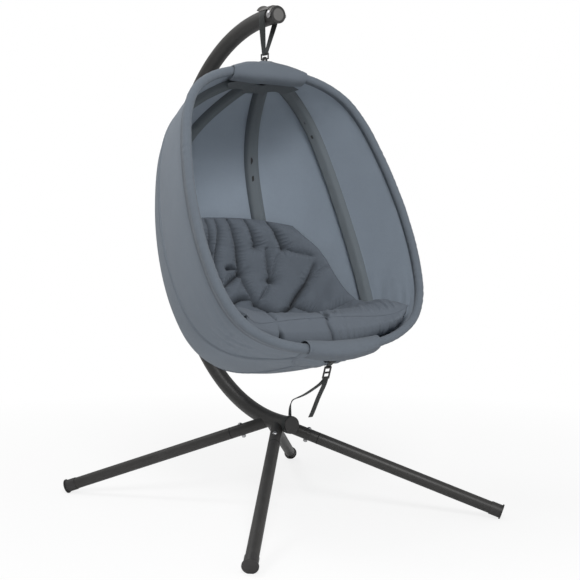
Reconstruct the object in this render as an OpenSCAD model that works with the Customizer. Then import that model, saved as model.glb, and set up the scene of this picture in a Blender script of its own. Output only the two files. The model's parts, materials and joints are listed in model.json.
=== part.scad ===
// Hanging egg chair: a C-shaped pole on four splayed legs carries a fabric pod
// with a tufted cushion. The chair faces -Y, +Z is up and the feet stand on z = 0.

/* [Pole] */
// Outside diameter of the pole tube
pole_d = 56; // [52:1:60]
// Wall of the pole tube
pole_wall = 2; // [1.5:0.1:2.5]
// Distance from the leg crossing back to the rearmost centre line of the pole
pole_reach = 664; // [650:1:690]
// Bend radius of the lower half of the pole, on its centre line
pole_low_r = 717; // [690:1:735]
// Distance from the leg crossing to the front end of the pole's foot
pole_foot_len = 101; // [96:1:112]
// Distance from the hanging strap to the pole's top front end
pole_nose_lead = 49.4; // [48:0.1:56]
// Length of the reduced end of the upper pole inside the lower pole
pole_insert_len = 100; // [90:1:120]
// Thickness of the disc of the pole's end caps
pole_cap_t = 4.5; // [3:0.5:6]
// How far the pole's end caps reach into the tube
pole_cap_plug = 16; // [10:1:20]

/* [Legs] */
// Outside diameter of the leg tubes
leg_d = 40; // [36:1:42]
// Wall of the leg tubes and their stubs
leg_wall = 1.5; // [1.2:0.1:2]
// Length from the pole's centre line to the end face of a foot cap
leg_len = 799; // [700:1:820]
// Downward slope of the legs
leg_slope = 19.6; // [18:0.1:22]
// Angle between each leg and the pole's foot, seen from above
leg_spread = 41.5; // [40:0.5:45]
// Distance of the front legs' crossing in front of the hub point
leg_front_offset = 25; // [20:1:30]
// Distance of the back legs' crossing behind the hub point
leg_back_offset = 22; // [18:1:28]
// Length of the welded stubs along the leg, from the pole's centre line
stub_len = 148; // [140:1:170]
// Length of the reduced end of a leg inside its stub
leg_insert_len = 82; // [72:1:84]
// Distance of the leg bolts from the pole's centre line
leg_bolt_at = 108; // [100:1:112]
// Length of a foot cap's sleeve on the leg
foot_cap_len = 40; // [30:1:50]
// Wall of a foot cap
foot_cap_wall = 1.6; // [1.2:0.1:2.5]
// Diameter of the flange that a foot stands on
foot_flange_d = 50; // [48:1:56]
// Thickness of that flange
foot_flange_t = 4; // [3:0.5:6]
// Depth of the flat worn on the flange where it meets the floor
foot_flat = 1; // [0.6:0.1:1.5]

/* [Fasteners] */
// Diameter of the leg and pole bolts
bolt_d = 8; // [6:1:9]
// Diameter of their domed heads
bolt_head_d = 16; // [14:1:18]
// Height of their domed heads
bolt_head_h = 5; // [4:0.5:6]
// Width of the nuts across their corners
nut_d = 15; // [13:0.5:17]
// Height of the nuts
nut_h = 6.5; // [5:0.5:8]
// Diameter of the saddle bolt's wide head
saddle_head_d = 24; // [20:1:26]

/* [Suspension] */
// Width of the hanging strap
strap_w = 30; // [26:1:32]
// Thickness of the hanging strap
strap_t = 2.4; // [2:0.1:2.8]
// Distance of the strap's middle behind the leg crossing
strap_y = 26; // [24:1:27]
// Thickness of the strap saddle's steel
saddle_t = 3; // [2:0.5:3.5]
// Diameter of the steel wire of the strap ring
ring_wire_d = 5; // [4:0.5:6]
// Height of the strap ring between its bar centres
ring_h = 17; // [16:0.5:20]
// Height of the pole's top centre line above the top of the mouth hoop
pod_drop = 177.6; // [172:0.5:186]
// Height of the mouth hoop's lowest point above the pole's foot
pod_clear = 282.6; // [276:0.2:292]

/* [Pod] */
// Length of the mouth hoop from top to bottom
mouth_len = 1001; // [960:1:1030]
// Backward lean of the mouth plane
mouth_tilt = 24.45; // [22:0.1:26]
// Distance of the hoop's top behind the strap
mouth_offset = 12.2; // [10:0.5:14]
// Scale of the mouth's half width
egg_half_w = 465; // [440:1:480]
// Share by which the lower half is wider than the upper half
egg_taper = 0.036; // [0:0.002:0.06]
// Fullness of the ends
egg_full = 0.112; // [0.09:0.002:0.13]
// Squareness of the shoulders
egg_shoulder = 0.0185; // [0.01:0.0005:0.025]
// Depth of the pod for each unit of its half width
egg_depth = 1.44; // [1.35:0.01:1.5]
// Exponent that rounds the pod's cross section
egg_bulge = 0.88; // [0.85:0.01:1]
// Outside diameter of the hoop and rib tubes
frame_d = 19; // [16:1:20]
// Wall of the hoop and rib tubes
frame_wall = 1.5; // [1.2:0.1:2]
// Thickness of the shell fabric
fabric_t = 1.5; // [1.2:0.1:2]
// Outside diameter of the fabric sleeve on the hoop
sleeve_d = 27; // [26:0.5:29]
// Turn of the inner ribs from the middle of the back
rib_inner = 26.9; // [24:0.1:30]
// Turn of the outer ribs from the middle of the back
rib_outer = 67.2; // [64:0.1:70]
// Width of the webs sewn over the ribs
band_w = 54; // [48:1:58]
// Height of the top wrap above the hoop's centre line
wrap_up = 34; // [32:1:38]
// Half of the length of the top wrap, along X
wrap_half_len = 150; // [140:1:165]

/* [Cushion] */
// Widest half width of the cushion
cushion_half_w = 346; // [330:1:352]
// Thickness of the seat at its front edge
cushion_front_t = 88; // [80:1:96]
// Thickness of the cushion where seat and back meet
cushion_seat_t = 128; // [118:1:136]
// Thickness of the cushion's back
cushion_back_t = 80; // [70:1:90]
// Depth of the sewn tufts
tuft_depth = 34; // [24:1:38]
// Radius of the dimple round a tuft
tuft_r = 30; // [24:1:34]

/* [Tether] */
// Width of the tether webbing
tether_w = 20; // [18:1:22]
// Thickness of the tether webbing
tether_t = 2; // [1.6:0.1:2.2]
// Width of the tether's loop round the pole's foot
tether_loop_w = 16; // [12:1:17]

/* [Fits] */
// Radial clearance of tubes that slide into each other
slip_fit = 0.3; // [0.2:0.05:0.4]
// Radial clearance of bolts in their holes
bolt_fit = 0.2; // [0.1:0.05:0.3]
// Clearance between parts that rest on each other
seat_gap = 0.15; // [0.1:0.05:0.25]
// Clearance between fabric pieces and what they cover
fabric_gap = 0.4; // [0.3:0.05:0.6]

/* [Hidden] */
$fn = 64;

steel = [0.17, 0.165, 0.16];
plastic = [0.12, 0.12, 0.12];
zinc = [0.45, 0.45, 0.46];
mesh_grey = [0.44, 0.475, 0.515];
band_grey = [0.28, 0.30, 0.32];
cushion_grey = [0.33, 0.36, 0.40];
webbing = [0.06, 0.07, 0.07];

// ---- Stand: derived places ----
LEG_TURNS = [-90 - leg_spread, -90 + leg_spread, 90 + leg_spread, 90 - leg_spread];
foot_r = foot_flange_d / 2;
hub_z = leg_len * sin(leg_slope) + foot_r * cos(leg_slope) - foot_flat;
leg_forward = cos(leg_slope) * cos(leg_spread);
front_reach = leg_front_offset + leg_len * leg_forward + foot_r * sqrt(1 - leg_forward * leg_forward);
hub_y = (front_reach - pole_reach - pole_d / 2) / 2;
pole_r = pole_d / 2;
pole_bore = pole_r - pole_wall;
low_bend_y = hub_y + pole_reach - pole_low_r;
joint_z = hub_z + pole_low_r;
pole_top_z = hub_z + pod_clear + mouth_len * cos(mouth_tilt) + pod_drop;
nose_front_y = hub_y + strap_y - pole_nose_lead;
nose_least = 32;
pole_rise = pole_top_z - joint_z;
// The upper bend is as large as its rise and its reach allow, with a straight run below it
pole_top_r = min(pole_rise, hub_y + pole_reach - nose_front_y - nose_least);
pole_mid_len = pole_rise - pole_top_r;
top_bend_y = hub_y + pole_reach - pole_top_r;
pole_nose_len = top_bend_y - nose_front_y;
foot_front_y = hub_y - pole_foot_len;
// The lower bend runs on past its lowest point to the end of the pole's foot
foot_turn = asin((low_bend_y - foot_front_y) / pole_low_r);
pole_insert_angle = pole_insert_len / pole_low_r * 180 / PI;
joint_gap_angle = slip_fit / pole_low_r * 180 / PI;
pole_insert_r = pole_bore - slip_fit;
pole_bolt_angles = [90 - pole_insert_angle * 0.3, 90 - pole_insert_angle * 0.7];
leg_r = leg_d / 2;
leg_insert_r = leg_r - leg_wall - slip_fit;
bolt_hole_r = bolt_d / 2 + bolt_fit;
shoulder_t = 3;
step_in = 0.5;

// ---- Saddle on the pole's nose ----
saddle_clip_len = 21;
saddle_bolt_y = nose_front_y + saddle_clip_len / 2;
saddle_in_r = pole_r + seat_gap;
strap_in_r = pole_r + 1.3 * fabric_gap;
saddle_arch_r = strap_in_r + strap_t + 1.5 * fabric_gap;
saddle_web_y = nose_front_y + saddle_clip_len;
saddle_back_y = hub_y + strap_y + strap_w / 2 + 3;
saddle_arch_len = saddle_back_y - saddle_web_y;
saddle_half_arch = 56;
saddle_half_clip = 104;
lip_rise = 6;
lip_run = 7;

// ---- Pod: the egg surface ----
down_dir = [0, -sin(mouth_tilt), -cos(mouth_tilt)];
back_dir = [0, cos(mouth_tilt), -sin(mouth_tilt)];
mouth_top = [0, hub_y + strap_y + mouth_offset, pole_top_z - pod_drop];
mouth_bottom = mouth_top + down_dir * mouth_len;
function egg_w(t) = egg_half_w * (sin(t) - egg_taper * sin(2 * t)
    + egg_full * sin(3 * t) + egg_shoulder * sin(5 * t));
function signed_pow(v) = sign(v) * pow(abs(v), egg_bulge);
// A point of the shell's outer face: a is the turn from the middle of the back,
// t runs from 0 at the top of the mouth to 180 at its bottom.
function skin(a, t) = mouth_top + down_dir * mouth_len * (1 - cos(t)) / 2
    + [egg_w(t) * signed_pow(sin(a)), 0, 0]
    + back_dir * egg_w(t) * egg_depth * signed_pow(cos(a));
function across(a, t) = skin(a + 0.5, t) - skin(a - 0.5, t);
function along(a, t) = skin(a, t + 0.5) - skin(a, t - 0.5);
function unit(v) = v / norm(v);
function outward(a, t) = unit(cross(across(a, t), along(a, t)));
function inset(a, t, depth) = skin(a, t) - depth * outward(a, t);
// Turn that moves a point sideways by a distance
function side_turn(a, t, distance) = distance / norm(across(a, t));
function smooth(v) = let (c = min(1, max(0, v))) c * c * (3 - 2 * c);

frame_r = frame_d / 2;
sleeve_r = sleeve_d / 2;
rib_depth = fabric_t + fabric_gap + frame_r;
tube_start = 3.5;
socket_bore = frame_r + slip_fit + 0.1;
socket_wall = 2.2;
socket_r = socket_bore + socket_wall;
boss_r = 26;
boss_t = 22;
boss_back = 14;
tube_sides = 8;
seam_turn = 0.05;
// Room that the shell's flat facets take from what lies inside it
facet_sag = 1;

// Stations from the top of the pod to its bottom, closer together at its blunt ends.
// All fabric and tubes share them, so that their facets lie parallel.
panel_start = 9;
rib_full_at = panel_start;
panel_steps = 18;
sleeve_start = 6.2;
function eased(v) = v - 0.06 * sin(360 * v);
PANEL_ROWS = [for (i = [0:panel_steps]) panel_start + (180 - 2 * panel_start) * eased(i / panel_steps)];
SLEEVE_ROWS = concat([sleeve_start], PANEL_ROWS, [180 - sleeve_start]);
TUBE_ROWS = concat([tube_start], SLEEVE_ROWS, [180 - tube_start]);
BAND_ROWS = [for (i = [1:panel_steps - 1]) PANEL_ROWS[i]];

// Depth of a rib's centre line below the skin: flush with the hoop at the brackets
function end_ramp(t) = smooth((min(t, 180 - t) - tube_start) / (rib_full_at - tube_start));
function tube_path(a, t) = inset(a, t, abs(a) > 89 ? 0 : rib_depth * end_ramp(t));
function tube_ring(a, t, r) = let (
        c = tube_path(a, t),
        tangent = unit(tube_path(a, t + 0.5) - tube_path(a, t - 0.5)),
        side = unit(cross(tangent, outward(a, t))),
        up = cross(side, tangent))
    [for (k = [0:tube_sides - 1]) let (g = (k + 0.5) * 360 / tube_sides)
        c + r * (cos(g) * up + sin(g) * side)];

// ---- Solids from rings of points ----
function total(v) = v * [for (i = [0:len(v) - 1]) 1];
function volume_sign(p, f) = sign(total([for (q = f) cross(p[q[0]], p[q[1]]) * p[q[2]]]));
function flipped(f) = [for (q = f) [q[2], q[1], q[0]]];
function quad(a, b, c, d) = [[a, b, c], [a, c, d]];
function side_faces(rings, n, base) = [for (i = [0:rings - 2], k = [0:n - 1])
    each quad(base + i * n + k, base + i * n + (k + 1) % n,
        base + (i + 1) * n + (k + 1) % n, base + (i + 1) * n + k)];

// Closes faces whichever way round they were listed
module solid(points, faces) {
    ok = volume_sign(points, faces) < 0;
    polyhedron(points = points, faces = ok ? faces : flipped(faces), convexity = 10);
}

// Rings whose first half runs along one face and whose second half runs back along the other
module loft(rings) {
    n = len(rings[0]);
    last = (len(rings) - 1) * n;
    points = [for (r = rings) each r];
    near = [for (k = [0:n / 2 - 2]) each quad(k + 1, k, n - 1 - k, n - 2 - k)];
    far = [for (k = [0:n / 2 - 2]) each quad(last + k, last + k + 1, last + n - 2 - k, last + n - 1 - k)];
    solid(points, concat(side_faces(len(rings), n, 0), near, far));
}

// A pipe between two lists of rings of equal size
module pipe_loft(outer, inner) {
    n = len(outer[0]);
    count = len(outer);
    base = count * n;
    last = (count - 1) * n;
    points = concat([for (r = outer) each r], [for (r = inner) each r]);
    near = [for (k = [0:n - 1]) each quad((k + 1) % n, k, base + k, base + (k + 1) % n)];
    far = [for (k = [0:n - 1])
        each quad(last + k, last + (k + 1) % n, base + last + (k + 1) % n, base + last + k)];
    solid(points, concat(side_faces(count, n, 0), flipped(side_faces(count, n, base)), near, far));
}

// Children along +Z from the first point towards the second
module between(a, b) {
    d = b - a;
    translate(a) rotate([0, acos(d[2] / norm(d)), atan2(d[1], d[0])]) children();
}

// ---- Fasteners ----
// A domed bolt along +Z whose head sits below z = 0
module dome_bolt(length, d, head_d, head_h) {
    cylinder(h = length, d = d);
    dome_r = (head_d * head_d / 4 + head_h * head_h) / (2 * head_h);
    intersection() {
        translate([0, 0, dome_r - head_h]) sphere(r = dome_r);
        translate([0, 0, -head_h]) cylinder(h = head_h, d = head_d);
    }
}

module hex_nut(d, height, bore_d) {
    difference() {
        cylinder(h = height, d = d, $fn = 6);
        translate([0, 0, -1]) cylinder(h = height + 2, d = bore_d + 0.1);
    }
}

// ---- Stand ----
// Children in a leg's own frame: +Z runs down the leg, -X is its upper side
module on_leg(i) {
    y = i < 2 ? hub_y - leg_front_offset : hub_y + leg_back_offset;
    translate([0, y, hub_z]) rotate([0, 90 + leg_slope, LEG_TURNS[i]]) children();
}

// Children at a turn of the lower bend: +X away from its centre, +Z along the X axis
module on_low_bend(turn) {
    translate([0, low_bend_y, joint_z]) rotate([0, 90, 0]) rotate([0, 0, turn])
        translate([pole_low_r, 0, 0]) children();
}

// A bent bar along the lower bend
module low_bend(r, first, last) {
    translate([0, low_bend_y, joint_z]) rotate([0, 90, 0]) rotate([0, 0, first])
        rotate_extrude(angle = last - first, $fn = 180) translate([pole_low_r, 0]) circle(r = r, $fn = 64);
}

module pole_disc(r) {
    translate([pole_top_r, 0]) circle(r = r, $fn = 64);
}

// Places its children at an angle round the upper bend's centre
module on_top_bend(a) {
    translate([0, top_bend_y, joint_z + pole_mid_len]) rotate([90, 0, 90]) rotate([0, 0, a]) children();
}

// A bent bar along the upper bend
module top_bend(r, first, last) {
    on_top_bend(first) rotate_extrude(angle = last - first, $fn = 180) pole_disc(r);
}

// A straight bar along the pole's middle, where the upper bend leaves room for one
module mid_bar(r) {
    if (pole_mid_len > 0) translate([0, hub_y + pole_reach, joint_z]) cylinder(h = pole_mid_len, r = r);
}

// A straight bar along the pole's nose, from the upper bend forward
module nose_bar(r, length) {
    on_top_bend(90) rotate([90, 0, 0]) translate([0, 0, -length]) linear_extrude(length) pole_disc(r);
}

// A straight bar along +Y
module y_bar(y, length, r, z) {
    translate([0, y, z]) rotate([-90, 0, 0]) cylinder(h = length, r = r);
}

module lower_pole() {
    color(steel) difference() {
        union() {
            low_bend(pole_r, -foot_turn, 90 - joint_gap_angle);
            for (i = [0:3]) on_leg(i) cylinder(h = stub_len, r = leg_r);
        }
        low_bend(pole_bore, -foot_turn - 1, 91);
        for (i = [0:3]) on_leg(i) {
            translate([0, 0, stub_len - leg_insert_len - 2])
                cylinder(h = leg_insert_len + 3, r = leg_r - leg_wall);
            translate([-leg_d, 0, leg_bolt_at]) rotate([0, 90, 0])
                cylinder(h = 2 * leg_d, r = bolt_hole_r);
        }
        for (a = pole_bolt_angles) on_low_bend(a) translate([0, 0, -pole_d])
            cylinder(h = 2 * pole_d, r = bolt_hole_r);
    }
}

module upper_pole() {
    color(steel) difference() {
        union() {
            low_bend(pole_insert_r, 90 - pole_insert_angle, 90);
            mid_bar(pole_r);
            top_bend(pole_r, 0, 90);
            nose_bar(pole_r, pole_nose_len);
        }
        low_bend(pole_insert_r - pole_wall, 89 - pole_insert_angle, 90);
        mid_bar(pole_insert_r - pole_wall - step_in);
        top_bend(pole_insert_r - pole_wall - step_in, -1, shoulder_t / pole_top_r * 180 / PI + 1);
        top_bend(pole_bore, shoulder_t / pole_top_r * 180 / PI, 90);
        nose_bar(pole_bore, pole_nose_len + 1);
        for (a = pole_bolt_angles) on_low_bend(a) translate([0, 0, -pole_d])
            cylinder(h = 2 * pole_d, r = bolt_hole_r);
        translate([-pole_d, saddle_bolt_y, pole_top_z]) rotate([0, 90, 0])
            cylinder(h = 2 * pole_d, r = bolt_hole_r);
    }
}

// An end plug along +Z: its disc lies outside the tube's end at z = 0 and its plug inside
module end_plug(plug_len) {
    translate([0, 0, -pole_cap_t]) cylinder(h = pole_cap_t - seat_gap, r = pole_r + 1);
    difference() {
        translate([0, 0, -pole_cap_t / 2]) cylinder(h = plug_len + pole_cap_t / 2, r = pole_bore - slip_fit);
        translate([0, 0, 1]) cylinder(h = plug_len, r = pole_bore - slip_fit - 2);
    }
}

module lower_pole_cap() {
    color(plastic) on_low_bend(-foot_turn) rotate([-90, 0, 0]) end_plug(pole_cap_plug);
}

module upper_pole_cap() {
    color(plastic) translate([0, nose_front_y, pole_top_z]) rotate([-90, 0, 0])
        end_plug(saddle_clip_len / 2 - bolt_d / 2 - 3);
}

module pole_bolts() {
    color(zinc) for (a = pole_bolt_angles) on_low_bend(a) translate([0, 0, -pole_r - seat_gap])
        dome_bolt(pole_d + 2 * seat_gap + nut_h + 2, bolt_d, bolt_head_d, bolt_head_h);
}

module pole_nuts() {
    color(zinc) for (a = pole_bolt_angles) on_low_bend(a) translate([0, 0, pole_r + seat_gap])
        hex_nut(nut_d, nut_h, bolt_d);
}

module leg(i) {
    color(steel) on_leg(i) difference() {
        union() {
            translate([0, 0, stub_len - leg_insert_len]) cylinder(h = leg_insert_len + 1, r = leg_insert_r);
            translate([0, 0, stub_len + slip_fit])
                cylinder(h = leg_len - stub_len - slip_fit - foot_flange_t - seat_gap, r = leg_r);
        }
        translate([0, 0, stub_len - leg_insert_len - 1])
            cylinder(h = leg_insert_len + 1 + shoulder_t, r = leg_insert_r - leg_wall);
        translate([0, 0, stub_len + shoulder_t - 0.5]) cylinder(h = leg_len, r = leg_r - leg_wall);
        translate([-leg_d, 0, leg_bolt_at]) rotate([0, 90, 0]) cylinder(h = 2 * leg_d, r = bolt_hole_r);
    }
}

module foot_cap(i) {
    color(plastic) difference() {
        on_leg(i) difference() {
            union() {
                translate([0, 0, leg_len - foot_cap_len])
                    cylinder(h = foot_cap_len - 1, r = leg_r + seat_gap + foot_cap_wall);
                translate([0, 0, leg_len - foot_flange_t]) cylinder(h = foot_flange_t, r = foot_r);
            }
            translate([0, 0, leg_len - foot_cap_len - 1])
                cylinder(h = foot_cap_len + 1 - foot_flange_t, r = leg_r + seat_gap);
        }
        translate([-leg_len, -leg_len + hub_y, -foot_flange_d])
            cube([2 * leg_len, 2 * leg_len, foot_flange_d]);
    }
}

module leg_bolts() {
    color(zinc) for (i = [0:3]) on_leg(i) translate([-leg_r - seat_gap, 0, leg_bolt_at]) rotate([0, 90, 0])
        dome_bolt(leg_d + 2 * seat_gap + nut_h + 2, bolt_d, bolt_head_d, bolt_head_h);
}

module leg_nuts() {
    color(zinc) for (i = [0:3]) on_leg(i) translate([leg_r + seat_gap, 0, leg_bolt_at]) rotate([0, 90, 0])
        hex_nut(nut_d, nut_h, bolt_d);
}

// ---- Saddle and suspension ----
// A profile of radius and length turned about the pole's nose, centred on its top
module about_nose(y, half_angle) {
    translate([0, y, pole_top_z]) rotate([-90, 0, 0]) rotate([0, 0, -90 - half_angle])
        rotate_extrude(angle = 2 * half_angle, $fn = 96) children();
}

module strap_saddle() {
    color(steel) difference() {
        union() {
            about_nose(nose_front_y + seat_gap, saddle_half_clip) translate([saddle_in_r, 0])
                square([saddle_t, saddle_clip_len - seat_gap]);
            about_nose(saddle_web_y, saddle_half_arch) polygon([
                [saddle_in_r, -saddle_t], [saddle_arch_r + saddle_t, -saddle_t],
                [saddle_arch_r + saddle_t, saddle_arch_len],
                [saddle_arch_r + saddle_t + lip_rise, saddle_arch_len + lip_run],
                [saddle_arch_r + lip_rise, saddle_arch_len + lip_run + saddle_t],
                [saddle_arch_r, saddle_arch_len + saddle_t], [saddle_arch_r, 0], [saddle_in_r, 0]]);
        }
        translate([-pole_d, saddle_bolt_y, pole_top_z]) rotate([0, 90, 0])
            cylinder(h = 2 * pole_d, r = bolt_hole_r);
    }
}

saddle_out = saddle_in_r + saddle_t + seat_gap;

module saddle_bolt() {
    color(zinc) translate([-saddle_out, saddle_bolt_y, pole_top_z]) rotate([0, 90, 0])
        dome_bolt(2 * saddle_out + nut_h + 2, bolt_d, saddle_head_d, bolt_head_h);
}

module saddle_nut() {
    color(zinc) translate([saddle_out, saddle_bolt_y, pole_top_z]) rotate([0, 90, 0])
        hex_nut(nut_d, nut_h, bolt_d);
}

// Ring and lug: the lug stands on the bracket and the strap hangs on the ring's upper bar
// Swelling of the weld where two rods meet
joint_swell = 0.2;
lug_t = 5;
lug_w = 18;
// Room for the ring's wire in the lug's hole, enough for its full twist
lug_hole_room = 1.8;
lug_hole_r = ring_wire_d / 2 + lug_hole_room;
ring_seat_gap = 0.5;
lug_root_z = mouth_top[2] - 4;
lug_hole_z = mouth_top[2] + wrap_up + 4.8;
ring_low_z = lug_hole_z + lug_hole_r - ring_wire_d / 2 - ring_seat_gap;
ring_top_z = ring_low_z + ring_h;
ring_y = mouth_top[1] + boss_back;
ring_half_w = strap_w / 2 + ring_wire_d / 2 + 2.5;
loop_r = ring_wire_d / 2 + fabric_gap;

// Outline of a band that wraps two circles of the strap, seen along Y
function arc(cx, cz, r, first, last, steps) =
    [for (i = [0:steps]) let (g = first + (last - first) * i / steps) [cx + r * cos(g), cz + r * sin(g)]];
function teardrop(big_r, small_r, drop) = let (lean = asin((big_r - small_r) / drop))
    concat(arc(0, 0, big_r, -lean, 180 + lean, 24), arc(0, -drop, small_r, 180 + lean, 360 - lean, 12));

// The strap leans back from the pole to the ring
module hanging_strap() {
    drop = pole_top_z - ring_top_z;
    lean = ring_y - hub_y - strap_y;
    color(webbing) multmatrix([[1, 0, 0, 0], [0, 1, -lean / drop, hub_y + strap_y + strap_w / 2],
            [0, 0, 1, pole_top_z], [0, 0, 0, 1]])
        rotate([90, 0, 0]) linear_extrude(height = strap_w) difference() {
            polygon(teardrop(strap_in_r + strap_t, loop_r + strap_t, drop));
            polygon(teardrop(strap_in_r, loop_r, drop));
        }
}

module strap_ring() {
    color(zinc) union() {
        for (z = [ring_low_z, ring_top_z]) {
            y_bar(ring_y - ring_half_w, 2 * ring_half_w, ring_wire_d / 2, z);
            for (s = [-1, 1]) translate([0, ring_y + s * ring_half_w, z])
                sphere(r = ring_wire_d / 2 + joint_swell, $fn = 32);
        }
        for (s = [-1, 1]) translate([0, ring_y + s * ring_half_w, ring_low_z])
            cylinder(h = ring_h, d = ring_wire_d);
    }
}

// ---- Pod frame ----
RIB_TURNS = [-90, -rib_outer, -rib_inner, rib_inner, rib_outer, 90];

socket_root = 24;
// The straight start of a tube, from its end to its first bend
function socket_run(a, flip) = tube_path(a, flip ? 180 - sleeve_start : sleeve_start)
    - tube_path(a, flip ? 180 - tube_start : tube_start);

// Children at each tube's start, along the tube
module each_tube(flip) {
    for (a = RIB_TURNS) {
        first = tube_path(a, flip ? 180 - tube_start : tube_start);
        $run = norm(socket_run(a, flip));
        between(first, first + socket_run(a, flip)) children();
    }
}

module sockets(flip) {
    difference() {
        each_tube(flip) translate([0, 0, -socket_root]) cylinder(h = socket_root + $run - 1, r = socket_r);
        each_tube(flip) translate([0, 0, -3]) cylinder(h = $run + 4, r = socket_bore);
    }
}

module boss(centre) {
    between(centre - down_dir * boss_t / 2, centre) cylinder(h = boss_t, r = boss_r);
}

module top_bracket() {
    color(steel) union() {
        sockets(false);
        boss(mouth_top + back_dir * boss_back);
        difference() {
            union() {
                translate([-lug_w / 2, ring_y - lug_t / 2, lug_root_z])
                    cube([lug_w, lug_t, lug_hole_z - lug_root_z]);
                y_bar(ring_y - lug_t / 2, lug_t, lug_w / 2, lug_hole_z);
            }
            y_bar(ring_y - lug_t, 2 * lug_t, lug_hole_r, lug_hole_z);
        }
    }
}

// The bail behind the bottom bracket that carries the tether
bail_back = 66;
bail_low = 17;
bail_r = 3;
bail_bar = mouth_bottom + back_dir * bail_back + down_dir * bail_low;
bail_half_w = tether_w / 2 + bail_r + 1;

module bottom_bracket() {
    color(steel) union() {
        sockets(true);
        boss(mouth_bottom + back_dir * boss_back);
        for (s = [-1, 1]) {
            side = [s * bail_half_w, 0, 0];
            between(mouth_bottom + down_dir * 7 + side, bail_bar + side)
                cylinder(h = norm(bail_bar - mouth_bottom - down_dir * 7), r = bail_r);
            translate(bail_bar + side) sphere(r = bail_r + joint_swell, $fn = 32);
        }
        translate(bail_bar - [bail_half_w, 0, 0]) rotate([0, 90, 0]) cylinder(h = 2 * bail_half_w, r = bail_r);
    }
}

// Set screws on the outer side of every socket
module bracket_screws() {
    color(zinc) for (flip = [false, true], a = RIB_TURNS) {
        t = flip ? 180 - tube_start : tube_start;
        first = tube_path(a, t);
        dir = unit(socket_run(a, flip));
        out = flip ? down_dir : -down_dir;
        up = unit(out - (out * dir) * dir);
        foot = first + 0.6 * socket_run(a, flip) + up * (socket_r + seat_gap);
        between(foot, foot + up) cylinder(h = 2.6, d1 = 8, d2 = 6);
    }
}

module frame_tube(a) {
    color(steel) pipe_loft([for (t = TUBE_ROWS) tube_ring(a, t, frame_r)],
        [for (t = TUBE_ROWS) tube_ring(a, t, frame_r - frame_wall)]);
}

module rim_sleeve(a) {
    color(mesh_grey) pipe_loft([for (t = SLEEVE_ROWS) tube_ring(a, t, sleeve_r)],
        [for (t = SLEEVE_ROWS) tube_ring(a, t, frame_r + fabric_gap)]);
}

// A web sewn over a rib: flat edges on the shell and a raised middle over the tube
band_foot = fabric_t + fabric_gap + facet_sag;
band_top = rib_depth + frame_r * cos(180 / tube_sides) + fabric_gap;
band_shape = [[-band_w / 2, band_foot], [-frame_r - 5, band_foot], [-frame_r - 2, band_top],
    [frame_r + 2, band_top], [frame_r + 5, band_foot], [band_w / 2, band_foot]];
function band_ring(a, t) = concat(
    [for (q = band_shape) inset(a + side_turn(a, t, q[0]), t, q[1])],
    [for (k = [len(band_shape) - 1:-1:0])
        let (q = band_shape[k]) inset(a + side_turn(a, t, q[0] * 1.06), t, q[1] + fabric_t)]);

module rib_band(a) {
    color(band_grey) loft([for (t = BAND_ROWS) band_ring(a, t)]);
}

// Turn at which the shell reaches the sleeve of the hoop
function edge_turn(t) = acos(pow((sleeve_r + fabric_gap) / (egg_w(t) * egg_depth), 1 / egg_bulge));

module panel(first, last, steps) {
    color(mesh_grey) loft([for (t = PANEL_ROWS) let (
            from = first < -89 ? -edge_turn(t) : first + seam_turn,
            to = last > 89 ? edge_turn(t) : last - seam_turn)
        concat([for (i = [0:steps]) inset(from + (to - from) * i / steps, t, 0)],
            [for (i = [steps:-1:0]) inset(from + (to - from) * i / steps, t, fabric_t)])]);
}

// ---- Covers, lining and wraps over the brackets ----
cover_lift = socket_r + 6;
cover_end = 11;
cover_turn_steps = 14;
cover_half_turn = 86;
function cover_depth(t) = -fabric_gap - fabric_t
    - (cover_lift - fabric_t) * smooth((cover_end - 0.6 - t) / 4.6);

// Stations at which the covers start: at the top behind the lug and at the bottom behind the bail
top_cover_start = 2.8;
low_cover_start = 4.6;

module bracket_cover(flip, hole_at) {
    rows = [for (i = [0:5]) hole_at + (cover_end - hole_at) * i / 5];
    turns = [for (i = [0:cover_turn_steps]) cover_half_turn * (2 * i / cover_turn_steps - 1)];
    color(mesh_grey) loft([for (t = rows) let (u = flip ? 180 - t : t)
        concat([for (a = turns) inset(a, u, cover_depth(t))],
            [for (a = turns) inset(-a, u, cover_depth(t) + fabric_t)])]);
}

// The lining behind the top wrap hangs on the ribs, above the ends of the bands
lining_half_turn = 76;
lining_end = 0.85;
LINING_TURNS = [-lining_half_turn, -rib_outer, -47, -rib_inner, -13,
    13, rib_inner, 47, rib_outer, lining_half_turn];
function lining_point(a, k, depth) = k < 2 ? inset(a, SLEEVE_ROWS[k], depth)
    : inset(a, SLEEVE_ROWS[1], depth) * (1 - lining_end) + inset(a, SLEEVE_ROWS[2], depth) * lining_end;

module top_lining() {
    color(band_grey) loft([for (k = [0:2]) concat(
        [for (a = LINING_TURNS) lining_point(a, k, band_top)],
        [for (a = LINING_TURNS) lining_point(-a, k, band_top + fabric_t)])]);
}

// A padded wrap follows the hoop between two stations on either side of its middle.
// Its section lists [back, out] offsets from the hoop's centre line, where out is
// its height on the outer side and in its height on the inner side.
wrap_wall = 8;
top_wrap_in = 44;
low_wrap_in = 33;
low_wrap_half = wrap_half_len * 0.96;
wrap_steps = 12;
wrap_face = -sleeve_r - fabric_gap;
function wrap_outer(out, in, flap) = [[flap, out - 1], [flap - 7, out], [-16, out - 7],
    [wrap_face - wrap_wall - 3, out - 22], [wrap_face - wrap_wall - 4, 0],
    [wrap_face - wrap_wall - 2, 20 - in], [-14, 7 - in], [2, -in], [24, 1 - in]];
function wrap_inner(out, in, flap) = [[flap, out - 1 - wrap_wall], [flap - 6, out - wrap_wall],
    [-11, out - 5 - wrap_wall], [wrap_face, 7], [wrap_face, 0], [wrap_face, -9],
    [-9, 7 - in + wrap_wall], [2, wrap_wall - in], [24, 1 - in + wrap_wall]];
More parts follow.
